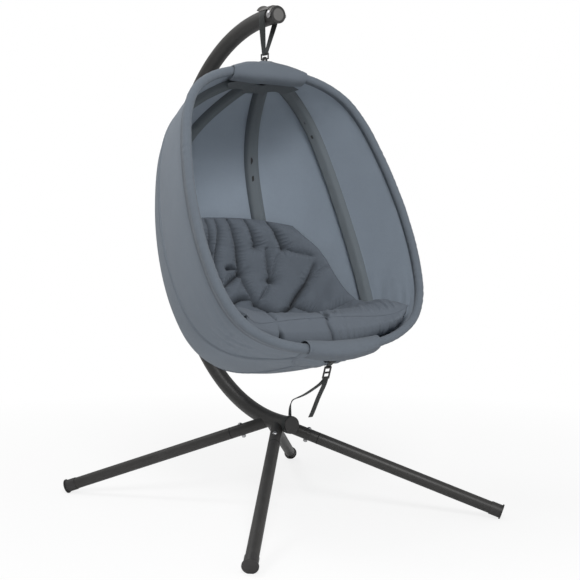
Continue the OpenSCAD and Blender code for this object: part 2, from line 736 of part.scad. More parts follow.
// Station at which the hoop is x away from the middle, near its blunt ends
function hoop_station(x, flip) = flip ? 180 - hoop_at(x, 179.5, 120, 14) : hoop_at(x, 0.5, 60, 14);
// The flap over the lug is cut back in the middle
function wrap_flap(x) = -5 + 29 * smooth((abs(x) - 18) / 30);

module rim_wrap(flip, out, in, half_len) {
    o = flip ? down_dir : -down_dir;
    color(mesh_grey) loft([for (i = [-wrap_steps / 2:wrap_steps / 2]) let (
            t = abs(i) * 2 / wrap_steps * hoop_station(half_len, flip),
            c = skin(i < 0 ? -90 : 90, flip ? 180 - t : t),
            flap = flip ? 24 : wrap_flap(c[0]))
        concat([for (q = wrap_outer(out, in, flap)) c + back_dir * q[0] + o * q[1]],
            [for (k = [8:-1:0]) let (q = wrap_inner(out, in, flap)[k]) c + back_dir * q[0] + o * q[1]])]);
}

// ---- Cushion ----
// The point that the cushion curves round, behind and above the mouth's lowest point
cushion_eye = mouth_bottom + [0, 316.1, 376.8];
cushion_bed = band_top + fabric_t + 3.9;
cushion_top_turn = 95;
cushion_top_droop = 6;
// Room behind the hoop's centre line at the middle of the front edge and at its corners
cushion_front_room = 46;
cushion_corner_room = 8;
cushion_side_room = 18;
cushion_edge_r = 52;
cushion_corner_w = 308;
cushion_top_w = 285;
// Share of its thickness that the cushion loses towards its sides
cushion_crown = 0.35;
// Shortest and longest distance from the eye at which the bed is looked for
bed_near = mouth_len / 20;
bed_far = mouth_len * 0.8;

// Whether a point is inside the shell's face moved in by a depth
function in_egg(p, depth) = let (
        d = p - mouth_top,
        fall = d * down_dir - depth,
        span = mouth_len - 2 * depth,
        t = acos(1 - 2 * min(0.9999, max(0.0001, fall / span))),
        w = egg_w(t) * (egg_half_w - depth) / egg_half_w,
        deep = egg_w(t) * egg_depth - depth * egg_w(t) / egg_half_w,
        back = d * back_dir)
    fall > 0 && fall < span && back > 0
        && pow(abs(p[0]) / w, 2 / egg_bulge) + pow(back / deep, 2 / egg_bulge) < 1;
// Distance from the eye line to the cushion's bed in one direction
function bed_distance(x, g, near, far, n) = let (mid = (near + far) / 2)
    n == 0 ? mid : in_egg(ray_point(x, g, mid), cushion_bed)
        ? bed_distance(x, g, mid, far, n - 1) : bed_distance(x, g, near, mid, n - 1);
function ray_point(x, g, r) = [x, cushion_eye[1] + r * sin(g), cushion_eye[2] - r * cos(g)];
// Station at which the hoop is as wide as x, between one where it is narrower and one where it is wider
function hoop_at(x, narrow, wide, n) = let (mid = (narrow + wide) / 2)
    n == 0 ? mid : egg_w(mid) > x ? hoop_at(x, narrow, mid, n - 1) : hoop_at(x, mid, wide, n - 1);
// Turn of the ray that meets the front edge, just behind the hoop
function front_turn(x) = let (
        corner = min(1, pow(abs(x) / cushion_corner_w, 4)),
        room = cushion_front_room + (cushion_corner_room - cushion_front_room) * corner,
        p = skin(90, hoop_at(abs(x) + cushion_side_room, 179.5, 100, 14)) + back_dir * room)
    atan2(p[1] - cushion_eye[1], cushion_eye[2] - p[2]);
function cushion_width(v) = v < 0.3
    ? cushion_corner_w + (cushion_half_w - cushion_corner_w) * sin(300 * v)
    : cushion_half_w - (cushion_half_w - cushion_top_w) * pow((v - 0.3) / 0.7, 4.5);
function cushion_thickness(v) = v < 0.4
    ? cushion_front_t + (cushion_seat_t - cushion_front_t) * smooth(v / 0.4)
    : cushion_seat_t + (cushion_back_t - cushion_seat_t) * smooth((v - 0.4) / 0.4);
function edge_rise(distance) = let (k = 1 - min(1, max(0, distance / cushion_edge_r))) sqrt(1 - k * k);

// The cushion's mesh has a fixed number of cells, with a sewn tuft on every fourth
// column and every third row, staggered from row to row.
cushion_cols = 26;
cushion_rows = 20;
tuft_cols = 4;
tuft_rows = 3;
edge_cell = 0.012;
function cells(n) = concat([0, edge_cell], [for (i = [1:n - 1]) i / n], [1 - edge_cell, 1]);
// Distance in cells to the nearest tuft of one tuft row
function tuft_off(col, r) = let (
        shift = r % 2 == 0 ? tuft_cols / 2 : 0,
        k = round((col - cushion_cols / 2 - shift) / tuft_cols))
    col - cushion_cols / 2 - shift - k * tuft_cols;
function tuft_pull(f, v, cell_w, cell_h) = max([for (r = [0:5]) let (
        away = norm([tuft_off(f * cushion_cols, r) * cell_w,
            (v * cushion_rows - cushion_rows + 2 + tuft_rows * r) * cell_h]))
    exp(-away * away / tuft_r / tuft_r)]);

// The lower and upper point of the cushion for a share across it and along it
function cushion_column(f, v) = let (
        x = (2 * f - 1) * cushion_width(v),
        first = front_turn(x),
        last = cushion_top_turn - cushion_top_droop * pow(abs(2 * f - 1), 3),
        g = first + v * (last - first),
        bed = bed_distance(x, g, bed_near, bed_far, 14),
        run = (last - first) * PI / 180 * bed,
        side = (1 - abs(2 * f - 1)) * cushion_width(v),
        rise = edge_rise(side) * edge_rise(v * run) * edge_rise((1 - v) * run),
        thick = cushion_thickness(v) * (1 - cushion_crown * pow(abs(2 * f - 1), 3)),
        pull = tuft_depth * rise * tuft_pull(f, v, 2 * cushion_width(v) / cushion_cols, run / cushion_rows))
    [ray_point(x, g, bed - 0.32 * thick * (1 - rise)),
        ray_point(x, g, bed - thick * (0.32 + 0.68 * rise) + pull)];

module cushion() {
    across = cells(cushion_cols);
    along = cells(cushion_rows);
    cols = len(across);
    rows = len(along);
    grid = [for (v = along, f = across) cushion_column(f, v)];
    n = rows * cols;
    // The two faces meet in one seam round the edge
    function low(j, i) = j * cols + i;
    function high(j, i) = low(j, i) + (j == 0 || j == rows - 1 || i == 0 || i == cols - 1 ? 0 : n);
    // The diagonals point away from the corners, so that no cell closes on itself
    function fair(j, i) = (j < rows / 2) == (i < cols / 2);
    points = concat([for (q = grid) q[0]], [for (q = grid) q[1]]);
    faces = concat(
        [for (j = [0:rows - 2], i = [0:cols - 2]) each fair(j, i)
            ? quad(low(j, i), low(j, i + 1), low(j + 1, i + 1), low(j + 1, i))
            : quad(low(j, i + 1), low(j + 1, i + 1), low(j + 1, i), low(j, i))],
        [for (j = [0:rows - 2], i = [0:cols - 2]) each fair(j, i)
            ? quad(high(j, i), high(j + 1, i), high(j + 1, i + 1), high(j, i + 1))
            : quad(high(j, i + 1), high(j, i), high(j + 1, i), high(j + 1, i + 1))]);
    color(cushion_grey) solid(points, faces);
}

// ---- Tether ----
// The buckle hangs below the bail, as [y, z] offsets from it
buckle_top = [bail_bar[1] + 23.1, bail_bar[2] - 20.4];
buckle_low = buckle_top + [14, -40];
// The web runs in the middle plane from the loop on the foot up to the buckle, as [back, up] shares of that run
web_shares = [[1, 1], [0.881, 0.874], [0.689, 0.731], [0.455, 0.567], [0.247, 0.458],
    [0.101, 0.39], [0.039, 0.309], [0.008, 0.2], [0, 0.097], [0, 0]];
web_low = [foot_front_y + 8.5, hub_z + pole_r + seat_gap + tether_t + 2];
web_high = buckle_low + [1.2, -0.5];
web_route = [for (q = web_shares)
    [web_low[0] + q[0] * (web_high[0] - web_low[0]), web_low[1] + q[1] * (web_high[1] - web_low[1])]];
// The free tail hangs from the buckle, as [y, z] offsets from its lower end
tail_offsets = [[-1.7, -1.4], [7, -22], [24, -46], [40, -70], [56, -98], [70, -122], [80, -136]];
tail_route = [for (q = tail_offsets) buckle_low + q];
loop_from_end = tether_loop_w / 2 + 0.5;
loop_turn = loop_from_end / pole_low_r * 180 / PI - foot_turn;
web_twist_from = 0.6;

// A strip of webbing whose width turns from along X to along Y
function strip_ring(route, i, twist, w, t) = let (
        p = route[i],
        q = route[min(i + 1, len(route) - 1)] - route[max(i - 1, 0)],
        tangent = unit([0, q[0], q[1]]),
        g = 90 * twist,
        wide = [cos(g), sin(g), 0],
        side = unit(wide - (wide * tangent) * tangent) * w / 2,
        thin = unit(cross(tangent, side)) * t / 2,
        c = [0, p[0], p[1]])
    [c - side - thin, c + side - thin, c + side + thin, c - side + thin];

module tether_strip(route, twisted) {
    last = len(route) - 1;
    color(webbing) loft([for (i = [0:last])
        strip_ring(route, i, twisted ? smooth((i / last - web_twist_from) / (1 - web_twist_from)) : 0,
            tether_w, tether_t)]);
}

module tether_web() {
    tether_strip(web_route, true);
}

module tether_tail() {
    tether_strip(tail_route, false);
}

module tether_hub_loop() {
    loop_in = pole_r + seat_gap;
    color(webbing) on_low_bend(loop_turn) rotate([-90, 0, 0]) difference() {
        translate([0, 0, -tether_loop_w / 2]) cylinder(h = tether_loop_w, r = loop_in + tether_t);
        translate([0, 0, -tether_loop_w]) cylinder(h = 2 * tether_loop_w, r = loop_in);
    }
}

// A ladder buckle: a flat frame with two windows
module tether_buckle() {
    length = norm(buckle_top - buckle_low);
    low = [0, buckle_low[0], buckle_low[1]];
    top = [0, buckle_top[0], buckle_top[1]];
    color(plastic) between(low, top) rotate([0, 0, 90]) difference() {
        translate([-tether_w / 2 - 3, -3, 0]) cube([tether_w + 6, 6, length]);
        for (z = [6, length / 2 + 2])
            translate([-tether_w / 2 - 0.5, -5, z]) cube([tether_w + 1, 10, length / 2 - 8]);
    }
}

// Webbing from the bail down to the buckle
module tether_tab() {
    top = [bail_bar[1] - hub_y + 1, bail_bar[2] - bail_r - tether_t];
    low = [buckle_top[0] - hub_y, buckle_top[1] + 1];
    color(webbing) union() {
        translate([-tether_w / 2, bail_bar[1], bail_bar[2]]) rotate([0, 90, 0]) difference() {
            cylinder(h = tether_w, r = bail_r + fabric_gap + tether_t);
            translate([0, 0, -1]) cylinder(h = tether_w + 2, r = bail_r + fabric_gap);
        }
        translate([-tether_w / 2, 0, 0]) rotate([90, 0, 90]) linear_extrude(height = tether_w)
            polygon([[top[0] + hub_y - 1, top[1] + 1], [top[0] + hub_y + 1.4, top[1] + 1],
                [low[0] + hub_y + 1, low[1]], [low[0] + hub_y - 1, low[1]]]);
    }
}

lower_pole();
lower_pole_cap();
upper_pole();
upper_pole_cap();
pole_bolts();
pole_nuts();
leg(0);  // leg_front_left
leg(1);  // leg_front_right
leg(2);  // leg_back_left
leg(3);  // leg_back_right
foot_cap(0);  // foot_cap_front_left
foot_cap(1);  // foot_cap_front_right
foot_cap(2);  // foot_cap_back_left
foot_cap(3);  // foot_cap_back_right
leg_bolts();
leg_nuts();
strap_saddle();
saddle_bolt();
saddle_nut();
hanging_strap();
strap_ring();
top_bracket();
bottom_bracket();
bracket_screws();
frame_tube(-90);  // rim_left
frame_tube(90);  // rim_right
rim_sleeve(-90);  // rim_sleeve_left
rim_sleeve(90);  // rim_sleeve_right
frame_tube(-rib_outer);  // rib_left_outer
frame_tube(-rib_inner);  // rib_left_inner
frame_tube(rib_inner);  // rib_right_inner
frame_tube(rib_outer);  // rib_right_outer
rib_band(-rib_outer);  // band_left_outer
rib_band(-rib_inner);  // band_left_inner
rib_band(rib_inner);  // band_right_inner
rib_band(rib_outer);  // band_right_outer
panel(-90, -rib_outer, 4);  // panel_left_side
panel(-rib_outer, -rib_inner, 6);  // panel_left_back
panel(-rib_inner, rib_inner, 8);  // panel_middle_back
panel(rib_inner, rib_outer, 6);  // panel_right_back
panel(rib_outer, 90, 4);  // panel_right_side
bracket_cover(false, top_cover_start);  // top_cover
bracket_cover(true, low_cover_start);  // bottom_cover
top_lining();
rim_wrap(false, wrap_up, top_wrap_in, wrap_half_len);  // top_wrap
rim_wrap(true, wrap_up, low_wrap_in, low_wrap_half);  // bottom_wrap
cushion();
tether_hub_loop();
tether_web();
tether_buckle();
tether_tab();
tether_tail();
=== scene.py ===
import json
import math

import bpy
import numpy as np
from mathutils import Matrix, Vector


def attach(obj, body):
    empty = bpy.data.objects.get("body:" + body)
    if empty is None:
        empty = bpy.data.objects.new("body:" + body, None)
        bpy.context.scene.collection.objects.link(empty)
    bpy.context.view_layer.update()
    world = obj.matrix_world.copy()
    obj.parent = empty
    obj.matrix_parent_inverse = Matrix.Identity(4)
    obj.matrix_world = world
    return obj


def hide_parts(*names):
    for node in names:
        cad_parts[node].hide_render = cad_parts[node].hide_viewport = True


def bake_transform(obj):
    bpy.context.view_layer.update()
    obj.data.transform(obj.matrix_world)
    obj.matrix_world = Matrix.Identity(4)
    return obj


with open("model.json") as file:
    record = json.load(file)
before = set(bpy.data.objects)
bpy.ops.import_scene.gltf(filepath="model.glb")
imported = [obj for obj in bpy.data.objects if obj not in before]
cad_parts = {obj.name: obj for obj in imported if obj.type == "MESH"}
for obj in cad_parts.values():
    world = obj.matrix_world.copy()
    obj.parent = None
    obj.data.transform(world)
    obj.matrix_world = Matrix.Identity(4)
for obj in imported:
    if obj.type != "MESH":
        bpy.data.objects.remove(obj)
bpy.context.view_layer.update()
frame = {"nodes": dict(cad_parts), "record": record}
NODES = frame["nodes"]
MM = 0.001


def add_object(name, data):
    made = bpy.data.objects.new(name, data)
    bpy.context.collection.objects.link(made)
    return made


# ---- Camera, as fitted to the photograph ----
def make_camera():
    data = bpy.data.cameras.new("camera")
    data.lens = 69.68
    data.sensor_width = 36
    camera = add_object("camera", data)
    side, down = math.radians(36.17), math.radians(3.409)
    look = Vector((math.sin(side) * math.cos(down), math.cos(side) * math.cos(down), -math.sin(down)))
    camera.location = (-2.2061, -3.1532, 0.9680)
    camera.rotation_euler = look.to_track_quat("-Z", "Y").to_euler()
    bpy.context.scene.camera = camera


make_camera()

# ---- The egg that the pod follows, in mm, as the CAD source has it ----
HUB_Y = -42.7709
TILT = math.radians(24.45)
DOWN = np.array([0, -math.sin(TILT), -math.cos(TILT)])
BACK = np.array([0, math.cos(TILT), -math.sin(TILT)])
MOUTH_TOP = np.array([0, HUB_Y + 38.2, 1484.41])
MOUTH_LEN = 1001.0
MOUTH_R = 465
EGG_DEPTH = 1.44
BULGE = 0.88
RIBS = [-90, -67.2, -26.9, 26.9, 67.2, 90]
TUBE_R = 13.5
FABRIC = 1.5


def sin_d(v):
    return np.sin(np.radians(v))


def cos_d(v):
    return np.cos(np.radians(v))


def smooth(v):
    """An even step from 0 to 1."""
    c = np.clip(v, 0, 1)
    return c * c * (3 - 2 * c)


def length(v):
    return np.linalg.norm(v, axis=-1, keepdims=True)


def unit(v):
    return v / np.maximum(length(v), 1e-9)


def egg_w(t):
    """The egg's half width at a station t."""
    return MOUTH_R * (sin_d(t) - 0.036 * sin_d(2 * t) + 0.112 * sin_d(3 * t) + 0.0185 * sin_d(5 * t))


def signed_pow(v):
    return np.sign(v) * np.abs(v) ** BULGE


def skin(a, t):
    """A point of the shell's outer face.

    a is the turn from the middle of the back, in degrees, and t runs from 0 at the top to 180 at the bottom.
    """
    a, t = np.broadcast_arrays(np.asarray(a, float), np.asarray(t, float))
    w = egg_w(t)
    fall = MOUTH_LEN * (1 - cos_d(t)) / 2
    x = w * signed_pow(sin_d(a))
    back = w * EGG_DEPTH * signed_pow(cos_d(a))
    return MOUTH_TOP + fall[..., None] * DOWN + back[..., None] * BACK + np.stack([x, 0 * x, 0 * x], -1)


def outward(a, t):
    return unit(np.cross(skin(a + 0.5, t) - skin(a - 0.5, t), skin(a, t + 0.5) - skin(a, t - 0.5)))


def inset(a, t, depth):
    return skin(a, t) - depth[..., None] * outward(a, t)


def side_turn(a, t, distance):
    """The turn that moves a point sideways by a distance."""
    return distance / length(skin(a + 0.5, t) - skin(a - 0.5, t))[..., 0]


def pair(u, v):
    """Two coordinates that broadcast together, as one array of points."""
    return np.stack(np.broadcast_arrays(u, v), -1)


def square_to(v, tangent):
    """The direction of v at right angles to the tangent."""
    return unit(v - np.sum(v * tangent, -1, keepdims=True) * tangent)


def loop_tangents(line):
    """Tangents of a closed line whose last point is its first."""
    tangent = unit(np.roll(line[:-1], -1, 0) - np.roll(line[:-1], 1, 0))
    return np.concatenate([tangent, tangent[:1]])


def run_along(points):
    """How far along a line of points each of them is."""
    return np.concatenate([[0], np.cumsum(length(np.diff(points, axis=0))[..., 0])])


def bisected(holds, low, high):
    """Where a test that holds at low and fails at high turns over."""
    for _ in range(18):
        middle = (low + high) / 2
        held = holds(middle)
        low, high = np.where(held, middle, low), np.where(held, high, middle)
    return (low + high) / 2


def waves(p, size, seed, count=9):
    """Smooth noise from plane waves, about -1 to 1."""
    rng = np.random.default_rng(seed)
    total = np.zeros(p.shape[:-1])
    for _ in range(count):
        way = rng.normal(size=p.shape[-1])
        way *= 2 * math.pi / size * rng.uniform(0.6, 1.5) / np.linalg.norm(way)
        total += np.sin(p @ way + rng.uniform(0, 2 * math.pi))
    return total / math.sqrt(count * 1.3)


def shell_rise(a, t):
    """How far the stretched cloth stands out from the smooth egg.

    It is flatter between the ribs, with soft ripples, and low down it has sags and small creases.
    """
    a, t = np.broadcast_arrays(a, t)
    k = np.ones(a.shape)
    for low, high in zip(RIBS[:-1], RIBS[1:]):
        k = np.where((a >= low) & (a <= high), (2 * a - low - high) / (high - low), k)
    k = np.clip(np.abs(k), 0, 1)
    ends = smooth((t - 8) / 25) * smooth((172 - t) / 25)
    p = skin(a, t)
    rise = -1.2 * (1 - k**2) * ends
    free = smooth((1 - k) / 0.35)
    rise += free * ends * (0.9 * waves(p * [1, 1, 0.35], 170, 5) + 0.3 * waves(p * [1, 1, 0.3], 75, 6))
    back = egg_w(t) * EGG_DEPTH * np.abs(cos_d(a)) ** BULGE
    low_side = smooth((t - 104) / 22) * smooth((174 - t) / 10)
    for at, high, wide in ((58, 1.3, 13), (96, 1.7, 17), (139, 1.2, 15), (186, 0.9, 18)):
        bend = at + 7 * np.sin(t / 8.0 + at) + 9 * smooth((t - 140) / 30)
        rise += low_side * high * np.exp(-(((back - bend) / wide) ** 2)) * (1 + 0.35 * np.sin(t / 5.3 + at))
    patch = np.exp(-(((back - 128) / 62) ** 2) - ((t - 145) / 7.5) ** 2)
    rise += patch * (2.6 * waves(p, 34, 11) + 1.2 * waves(p, 17, 12))
    seam = np.exp(-(((1 - k) * 160 / 16) ** 2))
    return rise + 0.35 * seam * np.sin(t * 2.9 + a) * ends


# ---- Meshes ----
def mesh_object(name, points, quads, uv, sharp=48):
    name = name + "_made" if name in NODES else name
    mesh = bpy.data.meshes.new(name)
    mesh.from_pydata((points * MM).tolist(), [], quads.tolist())
    mesh.shade_smooth()
    layer = mesh.uv_layers.new(name="UVMap")
    index = np.empty(len(mesh.loops), np.int32)
    mesh.loops.foreach_get("vertex_index", index)
    layer.data.foreach_set("uv", (uv[index] * MM).astype(np.float32).ravel())
    mesh.set_sharp_from_angle(angle=math.radians(sharp))
    return add_object(name, mesh)


def grid_quads(rows, cols, base=0):
    r, c = np.meshgrid(np.arange(rows - 1), np.arange(cols - 1), indexing="ij")
    i = base + r * cols + c
    return np.stack([i, i + 1, i + cols + 1, i + cols], -1).reshape(-1, 4)


def rim_of(rows, cols):
    """The grid's outer points in order round its edge."""
    i = np.arange(rows * cols).reshape(rows, cols)
    return np.concatenate([i[0, :-1], i[:-1, -1], i[-1, :0:-1], i[:0:-1, 0]])


def grid_uv(p):
    """Coordinates in mm over a grid of points, across from its middle column and down along it."""
    across = np.concatenate([np.zeros((p.shape[0], 1)), np.cumsum(length(np.diff(p, axis=1))[..., 0], 1)], 1)
    across -= across[:, -1:] / 2
    return pair(across, run_along(p[:, p.shape[1] // 2])[:, None])


def grid_normals(p):
    return unit(np.cross(np.gradient(p, axis=1), np.gradient(p, axis=0)))


def two_faced(name, front, rear, uv=None, sharp=48):
    """A closed mesh between two grids of points that share their rows and columns."""
    rows, cols = front.shape[:2]
    n = rows * cols
    rim = rim_of(rows, cols)
    after = np.roll(rim, -1)
    quads = np.concatenate([grid_quads(rows, cols), grid_quads(rows, cols, n)[:, ::-1],
                            np.stack([after, rim, rim + n, after + n], -1)])
    points = np.concatenate([front.reshape(-1, 3), rear.reshape(-1, 3)])
    corner = points[quads]
    volume = np.sum(np.cross(corner[:, 2] - corner[:, 0], corner[:, 3] - corner[:, 1]) * corner.mean(1))
    if volume < 0:
        quads = quads[:, ::-1]
    uv = (grid_uv(front) if uv is None else uv).reshape(-1, 2)
    return mesh_object(name, points, quads, np.concatenate([uv, uv]), sharp)


def cloth_sheet(name, front, thick=FABRIC):
    return two_faced(name, front, front - grid_normals(front) * thick)


def rounded(points, steps):
    """Cuts the corners of an open line of points, keeping its ends."""
    for _ in range(steps):
        a, b = points[:-1], points[1:]
        cut = np.stack([0.75 * a + 0.25 * b, 0.25 * a + 0.75 * b], 1).reshape(-1, points.shape[-1])
        points = np.concatenate([points[:1], cut[1:-1], points[-1:]])
    return points


def sampled(at, steps, points):
    """Points of a line at given distances, where steps are the distances of its own points."""
    return np.stack([np.interp(at, steps, column) for column in points.T], -1)


def resampled(points, count):
    steps = run_along(points)
    return sampled(np.linspace(0, steps[-1], count), steps, points)


# ---- Materials ----
def new_material(name, color, roughness, metallic=0.0):
    material = bpy.data.materials.new(name)
    material.use_nodes = True
    tree = material.node_tree
    shader = tree.nodes["Principled BSDF"]
    shader.inputs["Base Color"].default_value = (*color, 1)
    shader.inputs["Roughness"].default_value = roughness
    shader.inputs["Metallic"].default_value = metallic
    return material, tree, shader


def node(tree, kind, **values):
    """A new node. in_ and an input's name or number give it a value or another node's output."""
    made = tree.nodes.new(kind)
    for key, value in values.items():
        if not key.startswith("in_"):
            setattr(made, key, value)
            continue
        socket = made.inputs[int(key[3:]) if key[3:].isdigit() else key[3:]]
        if isinstance(value, bpy.types.NodeSocket):
            tree.links.new(value, socket)
        else:
            socket.default_value = value
    return made


def calc(tree, operation, *values):
    numbered = {f"in_{i}": value for i, value in enumerate(values)}
    return node(tree, "ShaderNodeMath", operation=operation, **numbered).outputs[0]


def weighted(tree, *parts):
    """The sum of outputs, each times its weight."""
    total = 0
    for source, weight in parts:
        total = calc(tree, "MULTIPLY_ADD", source, weight, total)
    return total


def ramp(tree, value, start, end, first, last):
    """A value's way from start to end, as a number from first to last."""
    made = node(tree, "ShaderNodeMapRange", in_0=value, in_1=start, in_2=end, in_3=first, in_4=last)
    return made.outputs[0]


def place_of(tree, kind="Object"):
    """A texture coordinate, and its x, y and z."""
    place = node(tree, "ShaderNodeTexCoord").outputs[kind]
    return place, node(tree, "ShaderNodeSeparateXYZ", in_0=place).outputs


def noise(tree, vector, scale, detail=3.0, rough=0.55):
    inputs = {"in_Vector": vector, "in_Scale": scale, "in_Detail": detail, "in_Roughness": rough}
    made = node(tree, "ShaderNodeTexNoise", **inputs)
    return made.outputs["Fac"]


def shade_color(tree, shader, color, factor, low, high):
    """Base colour between two brightnesses of one colour, by a factor from 0 to 1."""
    ends = {"in_6": (*[c * low for c in color], 1), "in_7": (*[min(1, c * high) for c in color], 1)}
    mix = node(tree, "ShaderNodeMix", data_type="RGBA", clamp_factor=False, in_0=factor, **ends)
    tree.links.new(mix.outputs[2], shader.inputs["Base Color"])


def bump(tree, shader, height, distance, strength):
    made = node(tree, "ShaderNodeBump", in_Height=height, in_Strength=strength, in_Distance=distance)
    tree.links.new(made.outputs["Normal"], shader.inputs["Normal"])


def cloth_material(name, color, pitch, weave=0.18, fuzz=0.35, low=0.86, high=1.12, sheen=0.12, fade=None,
                   deep=0):
    """Woven cloth: crossed threads at their real pitch, slubs, and slow changes of shade.

    weave and fuzz are the heights of the threads and the slubs, in mm. A fade of (low end, high end, change)
    lightens the colour below its high end: painted light for where more light comes through. deep is how much
    a piece's own stored painted fold shade, from 0 to 1, darkens the colour: painted shade in its folds.
    """
    material, tree, shader = new_material(name, color, 0.88)
    shader.inputs["Sheen Weight"].default_value = sheen
    shader.inputs["Sheen Roughness"].default_value = 0.5
    shader.inputs["Specular IOR Level"].default_value = 0.25
    uv = place_of(tree, "UV")[1]
    place, where = place_of(tree)
    across, down = [calc(tree, "SINE", calc(tree, "MULTIPLY", uv[i], 2 * math.pi / pitch)) for i in (0, 1)]
    threads = calc(tree, "MULTIPLY", across, down)
    slubs = noise(tree, place, 420, 4)
    clouds = noise(tree, place, 9, 3)
    grain = noise(tree, place, 95, 4, 0.7)
    factor = weighted(tree, (threads, 0.07), (slubs, 0.34), (clouds, 0.42), (grain, 0.28))
    if fade:
        factor = calc(tree, "MULTIPLY_ADD", factor, 0.16, ramp(tree, where[2], *fade, 0.0))
    if deep:
        folds = node(tree, "ShaderNodeAttribute", attribute_name="painted_fold_shade")
        factor = calc(tree, "SUBTRACT", factor, calc(tree, "MULTIPLY", folds.outputs["Fac"], deep))
    shade_color(tree, shader, color, factor, low, high)
    bump(tree, shader, weighted(tree, (threads, weave), (slubs, fuzz)), 0.001, 0.8)
    return material


def webbing_material(name, color, pitch):
    """Tight webbing with ribs across it."""
    material, tree, shader = new_material(name, color, 0.72)
    shader.inputs["Sheen Weight"].default_value = 0.15
    uv = place_of(tree, "UV")[1]
    turn = 2 * math.pi / pitch
    ribs = calc(tree, "SINE", calc(tree, "MULTIPLY", uv[1], turn))
    rows = calc(tree, "SINE", calc(tree, "MULTIPLY", uv[0], turn * 0.6))
    height = weighted(tree, (ribs, 1.0), (rows, 0.7))
    grain = noise(tree, place_of(tree)[0], 350, 3)
    factor = calc(tree, "MULTIPLY_ADD", height, 0.18, grain)
    shade_color(tree, shader, color, factor, 0.6, 1.9)
    bump(tree, shader, height, 0.0003, 0.7)
    return material


def steel_material(name, color, roughness, metallic, speck=0.0002):
    """Powder-coated or plated steel: fine orange peel and slow changes of gloss and shade."""
    material, tree, shader = new_material(name, color, roughness, metallic)
    place = place_of(tree)[0]
    peel = noise(tree, place, 700, 2)
    clouds = noise(tree, place, 14, 4, 0.6)
    scuffs = noise(tree, place, 60, 5, 0.7)
    shade_color(tree, shader, color, clouds, 0.75, 1.3)
    spread = weighted(tree, (clouds, 0.16), (scuffs, 0.16))
    tree.links.new(calc(tree, "ADD", spread, roughness - 0.16), shader.inputs["Roughness"])
    bump(tree, shader, peel, speck, 0.5)
    return material


def plastic_material(name, color, roughness):
    """Moulded plastic: a fine sandblasted grain and slow changes of shade."""
    material, tree, shader = new_material(name, color, roughness)
    place = place_of(tree)[0]
    shade_color(tree, shader, color, noise(tree, place, 30, 3), 0.8, 1.25)
    bump(tree, shader, noise(tree, place, 900, 3), 0.00025, 0.6)
    return material


def disc_material(name, middle, edge, centre_z, radius):
    """Plastic disc facing forwards: a lighter middle inside a dark rounded edge."""
    material, tree, shader = new_material(name, middle, 0.42)
    place, where = place_of(tree)
    across = calc(tree, "POWER", where[0], 2)
    up = calc(tree, "POWER", calc(tree, "SUBTRACT", where[2], centre_z), 2)
    out = calc(tree, "SQRT", calc(tree, "ADD", across, up))
    grain = noise(tree, place, 900, 3)
    factor = calc(tree, "MULTIPLY_ADD", grain, 0.08, ramp(tree, out, radius, radius + 0.002, 0.0, 1.0))
    shade_color(tree, shader, middle, factor, 1.0, edge)
    bump(tree, shader, grain, 0.00025, 0.6)
    return material


SHELL_COLOR = (0.165, 0.194, 0.230)
TRIM_COLOR = (0.077, 0.089, 0.098)
CUSHION_COLOR = (0.122, 0.142, 0.169)
shell_cloth = cloth_material("shell_cloth", SHELL_COLOR, 0.0016)
trim_cloth = cloth_material("trim_cloth", TRIM_COLOR, 0.0018)
# The bands' cloth is the trim colour made lighter, and lighter still lower down: painted light for the light
# that comes through the shell.
band_cloth_painted_light = cloth_material("band_cloth_painted_light", TRIM_COLOR, 0.0018, low=1.12, high=2.3, fade=(1.24, 1.42, 0.55))
# The sleeves and wraps take the shell's cloth colour made darker: painted shade against the front light they
# catch.
rim_cloth_painted_shade = cloth_material("rim_cloth_painted_shade", tuple(0.74 * c for c in SHELL_COLOR), 0.0016)
# The cushion cloth is darkened by each piece's stored painted fold shade: painted shade in the folds and the
# notch.
cushion_cloth = cloth_material("cushion_cloth", CUSHION_COLOR, 0.0011, weave=0.1, fuzz=0.22, sheen=0.06,
                               deep=2.0)
# The shell cloth's inner face, painted lighter: painted light for the light that comes through the mesh.
shell_inside = cloth_material("shell_inside", tuple(1.68 * c for c in SHELL_COLOR), 0.0016)
shell_thread = cloth_material("shell_thread", (0.13, 0.15, 0.18), 0.0008)
black_webbing = webbing_material("black_webbing", (0.006, 0.009, 0.009), 0.0022)
dark_steel = steel_material("dark_steel", (0.034, 0.033, 0.032), 0.42, 0.0)
dark_steel.node_tree.nodes["Principled BSDF"].inputs["Specular IOR Level"].default_value = 0.3
# Near black for the rings round the leg joints: painted shadow for the groove there.
groove_painted_shadow = plastic_material("groove_painted_shadow", (0.003, 0.003, 0.003), 0.8)
zinc_steel = steel_material("zinc_steel", (0.42, 0.42, 0.43), 0.32, 1.0, 0.0001)
# The saddle plate is a lighter grey than the pole: painted light for its upward face.
saddle_steel_painted_light = steel_material("saddle_steel_painted_light", (0.15, 0.145, 0.14), 0.36, 0.7)
black_plastic = plastic_material("black_plastic", (0.022, 0.021, 0.021), 0.5)
disc_plastic = disc_material("disc_plastic", (0.115, 0.113, 0.11), 0.18, centre_z=1.66201, radius=0.0195)

SLOT_MATERIALS = {"dark_steel": dark_steel, "zinc_steel": zinc_steel, "black_plastic": black_plastic,
                  "black_webbing": black_webbing, "cushion_cloth": cushion_cloth,
                  "trim_cloth": trim_cloth, "shell_cloth": shell_cloth}
NODE_MATERIALS = {"strap_saddle": saddle_steel_painted_light, "strap_ring": dark_steel, "upper_pole_cap": disc_plastic}
for row in frame["record"]["subparts"]:
    finish = NODE_MATERIALS.get(row["node"], SLOT_MATERIALS[row["material_slot"]])
    for holder in NODES[row["node"]].material_slots:
        holder.link = "OBJECT"
        holder.material = finish


def dress(piece, material, slot, *stands_for, body="pod"):
    """Gives a piece its look and its body; slot is not used. A piece with body=None is left without a body.
    """
    piece.data.materials.append(material)
    if body:
        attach(piece, body)
    if stands_for:
        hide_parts(*stands_for)


# ---- Stitches ----
STITCH_LONG = 5.0
STITCH_GAP = 3.4
STITCH_R = 0.75


